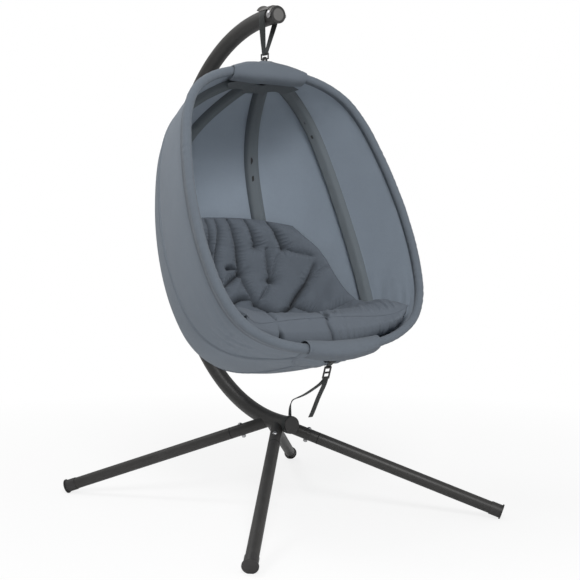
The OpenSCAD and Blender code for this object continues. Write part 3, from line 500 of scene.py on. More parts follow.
def stitch_row(name, path, normals, material=shell_thread, slot="shell_cloth"):
    """A row of sewn stitches along a line of points, as one mesh of small four-sided bars."""
    steps = run_along(path)
    starts = np.arange(STITCH_GAP, steps[-1] - STITCH_LONG, STITCH_LONG + STITCH_GAP)
    a, b = sampled(starts, steps, path), sampled(starts + STITCH_LONG, steps, path)
    up = unit(sampled(starts + STITCH_LONG / 2, steps, normals))
    side = np.cross(unit(b - a), up)
    rings = []
    for share, lift, size in ((0, -0.35, 0.5), (0.18, 0.25, 1), (0.82, 0.25, 1), (1, -0.35, 0.5)):
        c = a + (b - a) * share + up * lift
        corners = (-1, 0), (0, 0.9), (1, 0), (0, -0.9)
        rings.append([c + STITCH_R * size * (side * x + up * y) for x, y in corners])
    points = np.array(rings).transpose(2, 0, 1, 3).reshape(-1, 3)
    bar = [[0, 1, 2, 3], [15, 14, 13, 12]]
    for r in (0, 4, 8):
        bar += [[r + k, r + 4 + k, r + 4 + (k + 1) % 4, r + (k + 1) % 4] for k in range(4)]
    quads = (np.array(bar)[None] + 16 * np.arange(len(starts))[:, None, None]).reshape(-1, 4)
    dress(mesh_object(name, points, quads, points[:, :2]), material, slot)


# ---- Shell panels ----
def edge_turn(t):
    """The turn at which the side panels end, on the hoop's tube."""
    return np.degrees(np.arccos(((TUBE_R + 0.4) / (egg_w(t) * EGG_DEPTH)) ** (1 / BULGE)))


def paint_inside_light(piece, shape):
    """The inner face is given a lighter copy of the cloth: painted light for the light that comes through the
    mesh cloth.
    """
    piece.data.materials.append(shell_inside)
    count = (shape[0] - 1) * (shape[1] - 1)
    index = np.zeros(len(piece.data.polygons), np.int32)
    index[count:2 * count] = 1
    piece.data.polygons.foreach_set("material_index", index)


def shell_point(a, t, depth=0.0):
    return inset(a, t, depth - shell_rise(a, t))


def make_shell():
    names = ["left_side", "left_back", "middle_back", "right_back", "right_side"]
    columns = [46, 56, 66, 56, 46]
    t = np.linspace(9, 171, 190)[:, None]
    for k, name in enumerate(names):
        low, high = RIBS[k], RIBS[k + 1]
        first = -edge_turn(t) if k == 0 else low + 0.05
        last = edge_turn(t) if k == 4 else high - 0.05
        front = shell_point(first + (last - first) * np.linspace(0, 1, columns[k]), t)
        piece = cloth_sheet("shell_" + name, front)
        dress(piece, shell_cloth, "shell_cloth", "panel_" + name)
        paint_inside_light(piece, front.shape)


make_shell()


# ---- Sewn seams on the outside of the ribs, and the bands inside ----
BAND_W = 54
BAND_ARCH_R = 26.2
BAND_REACH = 20.7


def make_seam(a, name):
    """A strip sewn over a rib, with a raised bead along its middle."""
    t = np.linspace(8.2, 171.8, 200)[:, None]
    offsets = np.array([-8, -7.4, -6, -4, -2, -1, 0, 1, 2, 4, 6, 7.4, 8])
    lift = np.array([0.35, 1.3, 1.5, 1.5, 1.6, 2.3, 2.7, 2.3, 1.6, 1.5, 1.5, 1.3, 0.35])
    front = shell_point(a + side_turn(a, t, offsets), t, -lift)
    piece = cloth_sheet(name, front, 1.0)
    dress(piece, shell_cloth, "shell_cloth")
    out = outward(a, t[:, 0])
    for k, column in enumerate((3, 9)):
        stitch_row(f"{name}_stitches_{k}", front[:, column] + 0.1 * out, out)


def band_front(a, t):
    """The inner face of a web that is sewn down on both sides of a rib and goes over it."""
    x = np.linspace(-BAND_W / 2, BAND_W / 2, 41)
    turns = a + side_turn(a, t, x)
    foot = FABRIC + 0.5
    arch = np.clip(1 - (np.abs(x) / BAND_ARCH_R) ** 4.5, 0, 1) ** 0.9
    crease = 0.35 * waves(pair(x, t * 6), 26, int(abs(a)) + 3)
    depth = foot + (BAND_REACH - foot) * arch + crease * smooth((BAND_W / 2 - np.abs(x)) / 8)
    depth = depth - shell_rise(turns, t) * (1 - arch)
    return inset(turns, t, depth), turns


def make_band(a, name):
    t = np.linspace(7.0, 165.5, 200)[:, None]
    rear, turns = band_front(a, t)
    front = rear - outward(turns, t) * 1.4
    piece = two_faced(name, front, rear)
    dress(piece, band_cloth_painted_light, "trim_cloth", name)
    inner = -outward(a, t[:, 0])
    for k, column in enumerate((3, 37)):
        stitch_row(f"{name}_stitches_{k}", front[:, column], inner, band_cloth_painted_light, "trim_cloth")


for turn, side in zip(RIBS[1:-1], ("left_outer", "left_inner", "right_inner", "right_outer")):
    make_seam(turn, "rib_seam_" + side)
    make_band(turn, "band_" + side)


# ---- Sleeves on the mouth hoop ----
SLEEVE_R = 13.9


def hoop_frame(side, t):
    """Centre and outward direction of the hoop at stations t."""
    along = unit(skin(90 * side, t + 0.5) - skin(90 * side, t - 0.5))
    out = unit(np.cross(along, BACK)) * side
    out *= np.sign(np.sum(out * [side, 0, 0], -1, keepdims=True) + 1e-6)
    return skin(90 * side, t), out


def sleeve_section():
    """Back and out offsets of the sleeve's outer face, from its outer flap to its inner one."""
    turn = np.radians(np.linspace(72, 312, 34))
    ring = SLEEVE_R * np.stack([np.cos(turn), np.sin(turn)], -1)
    outer = [[37, 1.0], [36.4, 1.6], [34.5, 2.0], [31, 2.1], [28.5, 2.2], [25, 3.4], [20, 5.9], [14, 9.2],
             [9, 11.6]]
    inner = [[11.6, -7.6], [13.2, -5.2], [15.5, -3.9], [19, -3.3], [23, -3.2]]
    return np.concatenate([outer, ring, inner])


def make_sleeve(side, name):
    c, out = hoop_frame(side, np.linspace(6.2, 173.8, 300))
    section = sleeve_section()
    place = pair(run_along(c)[:, None], np.arange(len(section)) * 2.6)
    pucker = 0.45 * waves(place * [1, 0.25], 30, 21) + 0.22 * waves(place * [1, 0.2], 12, 22)
    pucker[:, :2] = pucker[:, -3:] = 0
    offsets = section * (1 + pucker / SLEEVE_R)[..., None]
    front = c[:, None] + offsets[..., :1] * BACK + offsets[..., 1:] * out[:, None]
    piece = cloth_sheet(name, front, 1.4)
    dress(piece, rim_cloth_painted_shade, "shell_cloth", name)
    stitch_row(name + "_stitches", front[:, 3], out)


make_sleeve(-1, "rim_sleeve_left")
make_sleeve(1, "rim_sleeve_right")


# ---- Covers over the brackets, and the lining inside ----
def make_cover(name, flip, hole_at):
    """A gathered cap over a bracket, from its hole to its hem on the shell."""
    rows = np.linspace(hole_at, 11.6, 26)[:, None]
    a = np.linspace(-86, 86, 150)[None, :]
    t = 180 - rows if flip else rows
    gather = 0.9 * np.sin(np.radians(a) * 26 + 1.3 * np.sin(np.radians(a) * 5)) * smooth((11.5 - rows) / 5)
    depth = -2.5 - 18.0 * smooth((10.4 - rows) / 4.6) - gather * smooth((86 - np.abs(a)) / 12)
    front = inset(a, t, depth)
    piece = two_faced(name, front, inset(a, t, depth + FABRIC))
    dress(piece, shell_cloth, "shell_cloth", name)
    stitch_row(name + "_stitches", front[-3], outward(a[0], t[-3]))


make_cover("top_cover", False, 2.8)
make_cover("bottom_cover", True, 4.6)


def make_lining():
    """The dark cloth inside the top, with scallops over the ribs along its lower edge."""
    a = np.linspace(-82, 82, 160)[None, :]
    last = np.interp(np.abs(a), [0, 24, 40, 56, 66, 82], [6.7, 6.6, 7.2, 8.4, 10.3, 14.6])
    last = last + 1.3 * sum(np.exp(-(((a - r) / 9) ** 2)) for r in RIBS[1:-1])
    t = 3.6 + (last - 3.6) * np.linspace(0, 1, 24)[:, None]
    depth = 23.4 + 0.5 * waves(pair(a, t * 2), 46, 31)
    front = inset(a, t, depth + 1.3)
    piece = two_faced("top_lining", front, inset(a, t, depth))
    dress(piece, trim_cloth, "trim_cloth", "top_lining")


make_lining()


# ---- Padded wraps over the hoop's top and bottom ----
def hoop_at(x, narrow, wide):
    """The station between two others at which the hoop's half width is x."""
    return bisected(lambda t: egg_w(t) <= x, narrow, wide)


def wrap_section(out, into, flap):
    """Outer face of a wrap's section, as back and out offsets from the hoop's centre line."""
    face = -TUBE_R - 0.4 - 8
    line = np.array([[flap, out - 1], [flap - 7, out], [-14, out - 5], [face - 2, out - 16], [face - 4, 2],
                     [face - 1, 18 - into], [-13, 5 - into], [4, -into], [24, 2 - into]])
    return resampled(rounded(line, 3), 44)


def make_wrap(name, flip, out_size, in_size, half_len, slim, seed):
    """A padded wrap over the hoop, full in the middle and slim at its ends."""
    o = DOWN if flip else -DOWN
    end_size = 17
    share = np.linspace(-1, 1, 96)
    x = share * half_len
    t = np.where(np.abs(x) < 0.5, 0.6, hoop_at(np.maximum(np.abs(x), 0.5), 0.3, 62))
    t = 180 - t if flip else t
    centre = skin(np.where(x < 0, -90, 90), t)
    centre[:, 0] = x
    full = 1 - slim * np.abs(share) ** 2.4
    front = []
    for at, size, middle in zip(x, full, centre):
        flap = 22.0 if flip else -5 + 27 * smooth((abs(at) - 18) / 30)
        out, into = (end_size + (most - end_size) * size for most in (out_size, in_size))
        section = wrap_section(out, into, flap)
        front.append(middle + section[:, :1] * BACK + section[:, 1:] * o)
    front = np.array(front)
    normal = grid_normals(front)
    if np.sum(normal[48, 4] * o) < 0:
        normal = -normal
    place = pair(x[:, None], np.arange(front.shape[1]) * 3.2)
    folds = 0.8 * waves(place * [1, 0.5], 120, 41 + seed) + 0.25 * waves(place * [1, 0.6], 40, 43 + seed)
    to_end = (1 - np.abs(share))[:, None] * half_len
    front = front + normal * (folds * (0.25 + 0.75 * smooth(to_end / 14)) - 1.2)[..., None]
    rear = front - normal * (2.2 + 4.0 * smooth(to_end / 26))[..., None]
    piece = two_faced(name, front, rear)
    dress(piece, rim_cloth_painted_shade, "shell_cloth", name)
    for k, row in enumerate((3, 92)):
        stitch_row(f"{name}_stitches_{k}", front[row] + normal[row] * 0.1, normal[row])


make_wrap("top_wrap", False, out_size=33, in_size=43, half_len=149, slim=0.72, seed=0)
make_wrap("bottom_wrap", True, out_size=33, in_size=32, half_len=143, slim=0.35, seed=7)

# ---- Cushion, as rays from an eye inside the pod to a bed on the shell ----
EYE = np.array([0, HUB_Y - 60, 949.98])
BED = 26.0
EDGE_ROUND = 52


def in_egg(p, depth):
    """Whether points are inside the egg, at least a depth from its face."""
    d = p - MOUTH_TOP
    fall = d @ DOWN - depth
    span = MOUTH_LEN - 2 * depth
    t = np.degrees(np.arccos(1 - 2 * np.clip(fall / span, 1e-4, 1 - 1e-4)))
    w0 = egg_w(t)
    w = w0 * (MOUTH_R - depth) / MOUTH_R
    deep = w0 * EGG_DEPTH - depth * w0 / MOUTH_R
    back = d @ BACK
    round_it = (np.abs(p[..., 0]) / w) ** (2 / BULGE) + (np.maximum(back, 0) / deep) ** (2 / BULGE)
    return (fall > 0) & (fall < span) & (back > 0) & (round_it < 1)


def ray_point(x, g, r):
    """A point at a distance r from the eye's axis, at a turn g from straight down."""
    return np.stack([x, EYE[1] + r * sin_d(g), EYE[2] - r * cos_d(g)], -1)


def bed_distance(x, g):
    return bisected(lambda r: in_egg(ray_point(x, g, r), BED), 50.0, 800.0)


CUSHION_WIDTHS = rounded(np.array([(0, 326), (0.1, 328), (0.3, 340), (0.45, 341), (0.6, 337), (0.75, 333),
                                   (0.88, 317), (1, 273)], float), 3)


def front_turn(x):
    """The turn at which the cushion's front edge lies, behind the hoop, with rounded corners."""
    far = np.abs(x)
    room = 46 - 38 * np.minimum(1, (far / 326) ** 4)
    p = skin(90, 180 - hoop_at(far + 18, 0.5, 80)) + BACK * room[..., None]
    corner = 14 * (1 - np.sqrt(1 - np.clip((far - 326) / 18, 0, 1) ** 2))
    return np.degrees(np.arctan2(p[..., 1] - EYE[1], EYE[2] - p[..., 2]) + corner / 430)


def cushion_width(v):
    return np.interp(v, CUSHION_WIDTHS[:, 0], CUSHION_WIDTHS[:, 1])


def cushion_thickness(f, v):
    side = np.abs(2 * f - 1)
    crown = 1 - 0.26 * side**3
    roll = (10 * smooth(1 - v / 0.1) + 24 * np.exp(-(((v - 0.085) / 0.06) ** 2))) * (1 - side**2)
    return crown * np.where(v < 0.3, 114 + 16 * smooth(v / 0.3), 130 - 48 * smooth((v - 0.3) / 0.5)) + roll


def seam_share(f, v):
    """Height of the edge seam as a share of the thickness: high along the front, low at the corners."""
    side = np.abs(2 * f - 1)
    front = 0.12 + 0.72 * (1 - side**2.5)
    rest = 0.45 - 0.33 * side**4
    return rest + (front - rest) * smooth(1 - v / 0.22)


def edge_rise(distance):
    return np.sqrt(1 - (1 - np.clip(distance / EDGE_ROUND, 0, 1)) ** 2)


def line_distance(p, line):
    """Distance from points to a line of points, and how far along it they are nearest, from 0 to 1."""
    best, share = np.full(p.shape[:-1], 1e9), np.zeros(p.shape[:-1])
    for k in range(len(line) - 1):
        a, d = line[k], line[k + 1] - line[k]
        s = np.clip(((p - a) @ d) / max(d @ d, 1e-9), 0, 1)
        far = np.linalg.norm(p - a - s[..., None] * d, axis=-1)
        share = np.where(far < best, (k + s) / (len(line) - 1), share)
        best = np.minimum(best, far)
    return best, share


# Tufts as (x, turn about the eye, depth, radius)
TUFTS = [(53, 64.4, 38, 44), (159, 57.9, 38, 44), (78, 44.9, 38, 42), (195, 38.3, 36, 42),
         (221, 76.5, 30, 38), (-42, 56, 36, 44), (-54, 76, 30, 40), (-150, 66, 36, 44), (-140, 46, 34, 42),
         (-236, 56, 32, 42), (-205, 78, 28, 36), (-235, 36, 30, 42), (268, 50, 20, 34), (131, 79.4, 26, 36),
         (-60, 14, 16, 40), (66, 20, 12, 36), (-185, 14, 16, 40), (-30, 31, 20, 38), (-130, 26, 22, 38)]
# Creases as (depth, reach, share of the depth at the start, and at the end, points as (x, turn))
CREASES = [
    (27, 30, 0.7, 1.0, [(46, 94), (60, 79.2), (55, 71.3), (53, 65)]),
    (20, 18, 1.0, 0.6, [(-2, 67.2), (25, 67.6), (53, 66.5)]),
    (24, 28, 0.7, 1.0, [(-6, 94), (-14, 83), (-40, 74), (-50, 66.7), (-42, 57)]),
    (22, 26, 0.8, 1.0, [(112, 95), (127, 83), (131, 79)]),
    (25, 28, 0.8, 1.0, [(192, 94), (211, 83), (219, 77)]),
    (24, 30, 0.5, 1.0, [(166, 77), (163, 70), (160, 58)]),
    (17, 22, 0.2, 1.0, [(203, 73), (186, 68.8), (173, 62.4), (161, 58.4)]),
    (36, 34, 0.45, 1.0, [(293, 58), (273, 51.2), (253, 47), (230, 44), (196, 39)]),
    (28, 28, 0.7, 1.0, [(-40, 45), (-5, 48.2), (28, 49.6), (62, 49.1), (79, 45.4)]),
    (12, 20, 1.0, 0.7, [(80, 45.8), (114, 49.4), (149, 55.7), (158, 57.7)]),
    (34, 36, 1.0, 1.0, [(78, 44.9), (99, 41), (128, 36), (152, 35.6), (194, 37.6)]),
    (26, 34, 1.0, 0.7, [(194, 36.6), (214, 32), (228, 24.5), (238, 19.1), (267, 16), (301, 9.7), (330, 3)]),
    (15, 26, 1.0, 0.7, [(221, 76.5), (252, 72), (292, 66)]),
    (12, 22, 1.0, 0.4, [(268, 50), (298, 52), (326, 51)]),
    (20, 32, 1.0, 1.0, [(-42, 56), (2, 60), (53, 64.4)]),
    (18, 30, 1.0, 1.0, [(53, 64.4), (64, 54), (78, 44.9)]),
    (16, 30, 1.0, 1.0, [(-42, 56), (-48, 66), (-54, 76)]),
    (20, 32, 1.0, 1.0, [(-42, 56), (-90, 50), (-140, 46)]),
    (20, 32, 1.0, 1.0, [(-150, 66), (-146, 56), (-140, 46)]),
    (18, 32, 1.0, 1.0, [(-150, 66), (-100, 70), (-54, 76)]),
    (22, 30, 0.7, 1.0, [(-50, 94), (-54, 84), (-54, 76)]),
    (22, 30, 0.7, 1.0, [(-126, 94), (-138, 80), (-150, 66)]),
    (20, 28, 0.7, 1.0, [(-190, 93), (-200, 84), (-205, 78)]),
    (18, 32, 1.0, 1.0, [(-150, 66), (-196, 62), (-236, 56)]),
    (18, 32, 1.0, 1.0, [(-236, 56), (-240, 46), (-235, 36)]),
    (16, 30, 1.0, 1.0, [(-140, 46), (-190, 40), (-235, 36)]),
    (28, 36, 1.0, 1.0, [(-40, 45), (-90, 42), (-140, 45), (-190, 38), (-250, 31), (-318, 14)]),
    (12, 30, 1.0, 0.6, [(-60, 12), (-46, 22), (-30, 31)]),
    (18, 30, 0.6, 1.0, [(96, 24), (140, 22), (190, 24), (228, 24.5)]),
    (22, 18, 0.5, 1.0, [(96, 24), (76, 12), (62, 0), (48, -16), (41, -29.7), (30, -34.5)]),
    (12, 18, 0.5, 1.0, [(-150, 2), (-168, -18), (-178, -35.5)]),
]


def cushion_base(f, v):
    x = (2 * f - 1) * cushion_width(v)
    first = front_turn(x)
    last = 95 - 3.8 * np.abs(2 * f - 1) ** 3
    g = first + v * (last - first)
    bed = bed_distance(x, g)
    run = np.radians(last - first) * bed
    side = (1 - np.abs(2 * f - 1)) * cushion_width(v)
    rise = edge_rise(side) * edge_rise(v * run) * edge_rise((1 - v) * run)
    return x, g, bed, run, rise


def valley(distance, reach):
    """Section of a drawn-in line between two full lobes: 1 on the line and 0 beyond its reach."""
    near = np.clip(distance / (1.35 * reach), 0, 1)
    return 0.55 * (1 - near) ** 2 + 0.45 * (1 - np.sqrt(np.clip(near * (2 - near), 0, 1)))


def bed_point(x, g):
    return ray_point(x, g, bed_distance(x, g))


def cushion_drop(x, g, bed):
    """How far the cloth is drawn in below the full crown, in mm, and the gathers beside tufts and creases."""
    p = ray_point(x, g, bed)
    drop = np.zeros(x.shape)
    gather = np.zeros(x.shape)
    for k, (depth, reach, first, last, line) in enumerate(CREASES):
        route = resampled(rounded(np.array([bed_point(*q) for q in line]), 2), 16)
        d, s = line_distance(p, route)
        fade = first + (last - first) * s
        drop = np.maximum(drop, depth * fade * (1.35 * valley(d, reach) + 0.4 * np.exp(-((d / 6) ** 1.3))))
        run = s * run_along(route)[-1]
        near = np.exp(-(((d - 15) / 13) ** 2)) * fade
        gather = np.maximum(gather, near * np.clip(np.sin(run / 2.5 + 1.3 * np.sin(run / 13 + k)), -0.3, 1))
    for k, (tx, tg, depth, radius) in enumerate(TUFTS):
        d = np.linalg.norm(p - bed_point(tx, tg), axis=-1)
        drop = np.maximum(drop, depth * (1.25 * valley(d, radius) + 0.3 * np.exp(-((d / 11) ** 1.5))))
        turn = np.arctan2((g - tg) * bed * math.pi / 180, x - tx)
        near = np.exp(-(((d - 24) / 19) ** 2))
        folds = np.sin(turn * 7 + k * 1.7 + 0.8 * np.sin(turn * 3 + k)) + 0.6 * np.sin(turn * 13 + 2.1 * k)
        gather = np.maximum(gather, near * np.clip(folds, -0.3, 1.3))
    return drop, gather


def roll_folds(x, along):
    """Folds over the front roll: long and wavy on the right, faint on the left."""
    slant = x - 0.3 * along + 7 * np.sin(along / 26 + x / 60)
    folds = np.clip(np.sin(slant / 4.1 + 1.4 * np.sin(slant / 23)), -0.35, 1)
    folds = folds + 0.45 * np.clip(np.sin(slant / 1.9 + 1.7 * np.sin(slant / 15) + along / 16), -0.3, 1)
    fall = 0.55 + 0.45 * np.sin(x / 31 + 0.9 * np.sin(x / 17 + along / 30))
    return folds * (0.1 + 1.5 * fall * smooth((x - 20) / 50))


def towards_eye(p):
    """Normals of a grid of points, on the eye's side."""
    normal = grid_normals(p)
    return normal * np.sign(np.sum(normal * (EYE - p), -1, keepdims=True))


def make_cushion():
    cols, rows = ((300, 380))
    share = np.linspace(0, 1, cols)
    f = (share - 0.03 * np.sin(2 * np.pi * share) / np.pi)[None, :] + np.zeros((rows, 1))
    pace = 1 - 0.9 * np.exp(-np.linspace(0, 1, rows - 1) / 0.08)
    v = (np.concatenate([[0], np.cumsum(pace)]) / pace.sum())[:, None] + np.zeros((1, cols))
    x, g, bed, run, rise = cushion_base(f, v)
    thick, seam = cushion_thickness(f, v), seam_share(f, v)
    along, to_back = v * run, (1 - v) * run
    arc = pair(x, g * bed * math.pi / 180)
    soft = 2.2 * waves(arc, 110, 51) + 0.8 * waves(arc * [1, 0.7], 42, 52)
    drop, gather = cushion_drop(x, g, bed)
    crown = thick * (seam + (1 - seam) * rise) - soft * rise
    high = ray_point(x, g, bed - crown + np.minimum(drop, 0.72 * thick) * smooth(rise * 1.5))
    low = ray_point(x, g, bed - seam * thick * (1 - rise))

    # fine folds stand off along the surface itself, and end at the sewn edge
    side = np.abs(2 * f - 1)
    hem = smooth(np.minimum(np.minimum(along, to_back), (1 - side) * cushion_width(v)) / 7)
    near_front = smooth((170 - along) / 110)
    fine = 2.3 * gather * (1 - near_front * 0.6) + 2.3 * near_front * roll_folds(x, along)
    edge_pull = 1.6 * np.clip(np.sin(x / 3.3 + 2 * np.sin(x / 27)), 0, 1)
    top_edge = np.exp(-(((to_back - 14) / 13) ** 2))
    high = high + towards_eye(high) * ((fine - edge_pull * top_edge) * hem)[..., None]

    # the front roll's underside has a notch on the left, a slit near the middle and full corners
    notch = 34 * np.exp(-np.abs((x + 178 + 0.05 * along) / (4 + along / 6)) ** 1.4) * smooth((along + 1) / 16)
    notch = notch + 15 * np.exp(-np.abs((x - 26 - 0.2 * along) / 6)) * smooth((along + 6) / 12)
    full = (9 + 15 * smooth((side - 0.62) / 0.3)) * np.exp(-(((along - 16) / 22) ** 2)) * (1 - side**14)
    under = 2.0 * roll_folds(x, -0.6 * along) * near_front * hem - notch * near_front + full * hem
    low = low - towards_eye(low) * under[..., None]

    piece = two_faced("seat_cushion", high, low, pair(x, g * 5.6), sharp=80)
    # Painted shade: how deep the folds lie on the top face and the notch on the underside, stored on the
    # points to darken the cloth there.
    dark = np.stack([np.clip(drop / 34, 0, 1) ** 2, np.clip(notch / 18, 0, 1)])
    painted_fold_shade = piece.data.attributes.new("painted_fold_shade", "FLOAT", "POINT")
    painted_fold_shade.data.foreach_set("value", dark.astype(np.float32).ravel())
    dress(piece, cushion_cloth, "cushion_cloth", "cushion")
    make_welt(high, low)
    buttons = []
    for tx, tg, _, _ in TUFTS:
        i = np.unravel_index(np.argmin((x - tx) ** 2 + ((g - tg) * 6) ** 2), x.shape)
        buttons.append((high[i], unit(EYE - high[i])))
    make_buttons(buttons)


def circle(count):
    turn = np.linspace(0, 2 * math.pi, count, endpoint=False)
    return np.stack([np.cos(turn), np.sin(turn)], -1)


def make_welt(high, low):
    """The sewn edge where the cushion's two faces meet, as a thin raised line of cloth."""
    rim = rim_of(*high.shape[:2])
    line = ((high + low) / 2).reshape(-1, 3)[rim]
    line = np.concatenate([line, line[:1]])
    tangent = loop_tangents(line)
    out = square_to(line - high[high.shape[0] // 2, high.shape[1] // 2], tangent)
    up = np.cross(tangent, out)
    radius = 1.1
    rings = np.stack([line + radius * (out * (a + 0.1) + up * b) for a, b in circle(8)], 1)
    points = rings[:-1].reshape(-1, 3)
    quads = []
    for r in range(0, len(points), 8):
        after = (r + 8) % len(points)
        quads += [[r + k, r + (k + 1) % 8, after + (k + 1) % 8, after + k] for k in range(8)]
    piece = mesh_object("cushion_welt", points, np.array(quads), points[:, :2], sharp=80)
    dress(piece, cushion_cloth, "cushion_cloth")


def make_buttons(places):
    """A short bar of thread in each tuft."""
    points, quads = [], []
    for c, up in places:
        side = unit(np.cross(up, [0, 0, 1.0]))
        other = np.cross(up, side)
        base = len(points)
        for lift, size in ((-4, 3.2), (0.5, 4.6), (1.8, 3.8), (2.3, 1.4)):
            points += [c + up * lift + size * (side * a + 0.55 * other * b) for a, b in circle(12)]
        for r in (base, base + 12, base + 24):
            quads += [[r + k, r + (k + 1) % 12, r + 12 + (k + 1) % 12, r + 12 + k] for k in range(12)]
        top = base + 36
        quads += [[top + k, top + k + 1, top + 10 - k, top + 11 - k] for k in range(5)]
        quads += [[base + 11 - k, base + 10 - k, base + k + 1, base + k] for k in range(5)]
    points = np.array(points)
    piece = mesh_object("cushion_tufts", points, np.array(quads), points[:, :2], sharp=80)
    dress(piece, cushion_cloth, "cushion_cloth")


make_cushion()


# ---- Straps ----
def strip(name, centres, wides, thins, wide, thin):
    """Webbing with rounded edges along a line of points: wides and thins are its side and face directions."""
    half = np.array([(-1, 0), (-0.96, 0.7), (-0.86, 1), (-0.5, 1.08), (0, 1.1)])
    face = np.concatenate([half, (half * [-1, 1])[-2::-1]])
    across = face[:, 0] * (wide / 2)[:, None]
    middle = centres[:, None] + wides[:, None] * across[..., None]
    lift = thins[:, None] * face[:, 1:] * thin / 2
    return two_faced(name, middle + lift, middle - lift, pair(across, run_along(centres)[:, None]), sharp=60)


def make_hanging_strap():
    """One closed loop of webbing over the pole's nose and through the ring."""
    pole_y, pole_z, pole_r = HUB_Y + 26, 1662.0, 29.1 + 1.2
    ring_y, ring_z, ring_r = 9.43, 1541.5, 2.9 + 1.2
    drop = pole_z - ring_z
    lean = math.asin((pole_r - ring_r) / drop)

    def arc(radius, first, last, count):
        turn = np.linspace(first, last, count)
        return radius * np.stack([np.cos(turn), np.sin(turn)], -1)

    over = arc(pole_r, -lean, math.pi + lean, 40)
    under = arc(ring_r, math.pi + lean, 2 * math.pi - lean, 14) - [0, drop]
    leg = over[-1] + (under[0] - over[-1]) * np.linspace(0.05, 0.95, 18)[:, None]
    line = np.concatenate([over, leg, under, leg[::-1] * [-1, 1], over[:1]])
    fall = -line[:, 1] / drop
    y = pole_y + (ring_y - pole_y) * np.clip(fall, -0.3, 1.1)
    fall = np.clip(fall, 0, 1)
    centres = np.stack([line[:, 0], y, pole_z + line[:, 1]], -1)
    tangent = loop_tangents(centres)
    twist = -np.radians(np.where(line[:, 0] > 0, 5, 12)) * smooth(fall * 3) * smooth((1 - fall) * 3)
    wide = square_to(np.stack([np.sin(twist), np.cos(twist), 0 * twist], -1), tangent)
    piece = strip("hanging_strap", centres, wide, np.cross(tangent, wide), 30 - 9 * smooth(fall * 1.1), 2.3)
    dress(piece, black_webbing, "black_webbing", "hanging_strap", body=None)
    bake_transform(piece)


make_hanging_strap()

# Routes in the middle plane, as y from the hub and z, as the CAD source has them
WEB_ROUTE = [[-284.8, 469.5], [-262, 451], [-225, 430], [-180, 406], [-140, 390], [-112, 380],
             [-100, 368], [-94, 352], [-92.5, 337], [-92.5, 322.7]]
TAIL_ROUTE = [[-287.7, 468.6], [-279, 448], [-262, 424], [-246, 400], [-230, 372], [-216, 348], [-206, 334]]


def route_frame(route, count, twist_from):
    """Centres and directions along a route, with a quarter turn of the webbing after the share twist_from."""
    yz = resampled(rounded(np.array(route, float), 2), count)
    centres = np.stack([0 * yz[:, 0], HUB_Y + yz[:, 0], yz[:, 1]], -1)
    tangent = unit(np.gradient(centres, axis=0))
    share = np.linspace(0, 1, count)
    turn = math.pi / 2 * smooth((share - twist_from) / (1 - twist_from)) if twist_from else 0 * share
    wide = square_to(np.stack([np.cos(turn), np.sin(turn), 0 * turn], -1), tangent)
    return centres, wide, np.cross(tangent, wide)


def make_tether():
    """The slack webbing in three lengths, each left without a body, and the loose tail."""
    centres, wide, thin = route_frame(WEB_ROUTE, 91, 0.6)
    size = 20 - 3 * smooth((np.linspace(0, 1, 91) - 0.5) * 2)
    pairs = [("swivel", "pod"), ("hanger", "swivel"), ("stand", "hanger")]
    for k, (a, b) in enumerate(pairs):
        part = slice(30 * k, 30 * k + 31)
        piece = strip(f"tether_web_{k}", centres[part], wide[part], thin[part], size[part], 2.0)
        stands_for = ["tether_web"] if k == 0 else []
        dress(piece, black_webbing, "black_webbing", *stands_for, body=None)
        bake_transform(piece)
    centres, wide, thin = route_frame(TAIL_ROUTE, 40, 0)
    tail = strip("tether_tail", centres, wide, thin, 20 - 1.5 * np.linspace(0, 1, 40), 2.0)
    dress(tail, black_webbing, "black_webbing", "tether_tail")


make_tether()


def plain_webbing(name, body):
    """A CAD piece of webbing kept as it is, copied so that it can carry lengthwise coordinates."""
    mesh = NODES[name].data.copy()
    piece = add_object(name + "_web", mesh)
    layer = mesh.uv_layers[0] if mesh.uv_layers else mesh.uv_layers.new(name="UVMap")
    for loop in mesh.loops:
        co = mesh.vertices[loop.vertex_index].co
        layer.data[loop.index].uv = (co.x, co.z)
    mesh.materials.clear()
    dress(piece, black_webbing, "black_webbing", name, body=body)


plain_webbing("tether_tab", "pod")
plain_webbing("tether_hub_loop", "stand")


def make_leg_joints():
    """A near-black ring round each leg where it meets its stub: painted shadow for the joint's groove."""
    hub_z, stub_end, slope = 290.5772, 148.1, math.radians(19.6)
    section = (-1.5, 19.9), (-1.1, 20.35), (1.1, 20.35), (1.5, 19.9)
    a, b = np.meshgrid(np.arange(64), np.arange(4), indexing="ij")
    after, beside = (a + 1) % 64, (b + 1) % 4
    quads = np.stack([4 * a + b, 4 * after + b, 4 * after + beside, 4 * a + beside], -1).reshape(-1, 4)
    for k, (turn, offset) in enumerate([(-131.5, -25), (-48.5, -25), (131.5, 22), (48.5, 22)]):
        flat = math.radians(turn)
        way = np.array([math.cos(slope) * math.cos(flat), math.cos(slope) * math.sin(flat), -math.sin(slope)])
        side = unit(np.cross(way, [0, 0, 1.0]))
        ring = circle(64) @ [side, np.cross(side, way)]
        middle = np.array([0, HUB_Y + offset, hub_z]) + way * stub_end
        points = np.stack([middle + way * along + ring * r for along, r in section], 1).reshape(-1, 3)
        piece = mesh_object(f"leg_joint_line_{k}", points, quads, points[:, :2], sharp=60)
        dress(piece, groove_painted_shadow, "black_plastic", body="stand")


make_leg_joints()


# ---- Light, floor and background ----
FLOOR_HALF = 14


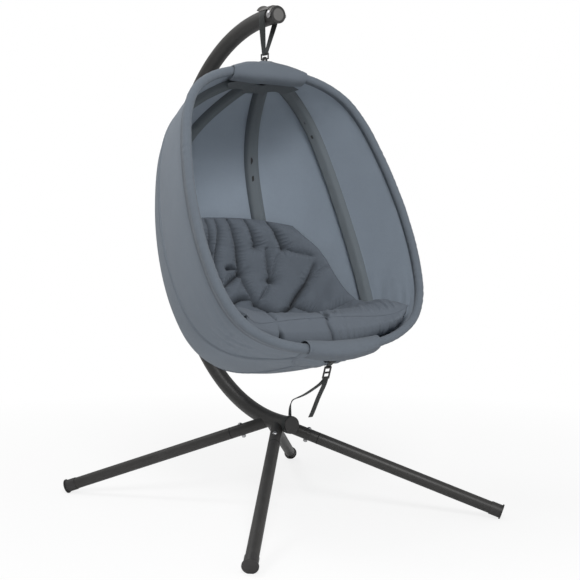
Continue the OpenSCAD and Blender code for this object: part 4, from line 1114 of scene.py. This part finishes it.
def mix_into(tree, output, factor, first, second):
    """Mixes two shaders and links the result to an output node."""
    mixed = node(tree, "ShaderNodeMixShader", in_0=factor, in_1=first.outputs[0], in_2=second.outputs[0])
    tree.links.new(mixed.outputs[0], tree.nodes[output].inputs[0])


def seen_directly(tree):
    path = node(tree, "ShaderNodeLightPath")
    return calc(tree, "MAXIMUM", path.outputs["Is Camera Ray"], path.outputs["Is Transmission Ray"])


def make_stage():
    """A world seen as white, and a floor that catches the shadows near the chair and is white beyond."""
    world = bpy.data.worlds.new("world")
    bpy.context.scene.world = world
    world.use_nodes = True
    tree = world.node_tree
    plain = tree.nodes["Background"]
    plain.inputs["Color"].default_value = (1, 1, 1, 1)
    plain.inputs["Strength"].default_value = 0.46
    white = node(tree, "ShaderNodeBackground", in_Color=(1, 1, 1, 1), in_Strength=1.0)
    mix_into(tree, "World Output", seen_directly(tree), plain, white)

    floor_mesh = bpy.data.meshes.new("floor")
    corners = [(FLOOR_HALF * x, FLOOR_HALF * y, 0) for x, y in ((-1, -1), (1, -1), (1, 1), (-1, 1))]
    floor_mesh.from_pydata(corners, [], [(0, 1, 2, 3)])
    add_object("floor", floor_mesh)
    material, tree, shader = new_material("floor", (0.9, 0.9, 0.9), 0.9)
    away = node(tree, "ShaderNodeVectorMath", operation="LENGTH", in_0=place_of(tree)[0])
    fade = ramp(tree, away.outputs["Value"], 0.9, 2.6, 0.8, 1.0)
    glow = node(tree, "ShaderNodeEmission")
    mix_into(tree, "Material Output", calc(tree, "MULTIPLY", seen_directly(tree), fade), shader, glow)
    floor_mesh.materials.append(material)


def make_light(name, power, size, place):
    """A square light that faces the middle of the chair."""
    data = bpy.data.lights.new(name, "AREA")
    data.energy = power
    data.size = size
    light = add_object(name, data)
    light.location = place
    light.rotation_euler = (Vector((0, 0, 0.9)) - Vector(place)).to_track_quat("-Z", "Y").to_euler()


make_stage()
make_light("key", 118, 1.3, (-1.7, -3.2, 3.5))
make_light("top", 32, 1.0, (-1.1, 1.3, 3.6))
make_light("fill", 14, 3.0, (2.2, -3.6, 1.8))
make_light("rear", 7, 2.4, (-2.0, 2.8, 2.8))
bpy.context.scene.view_settings.view_transform = "Standard"
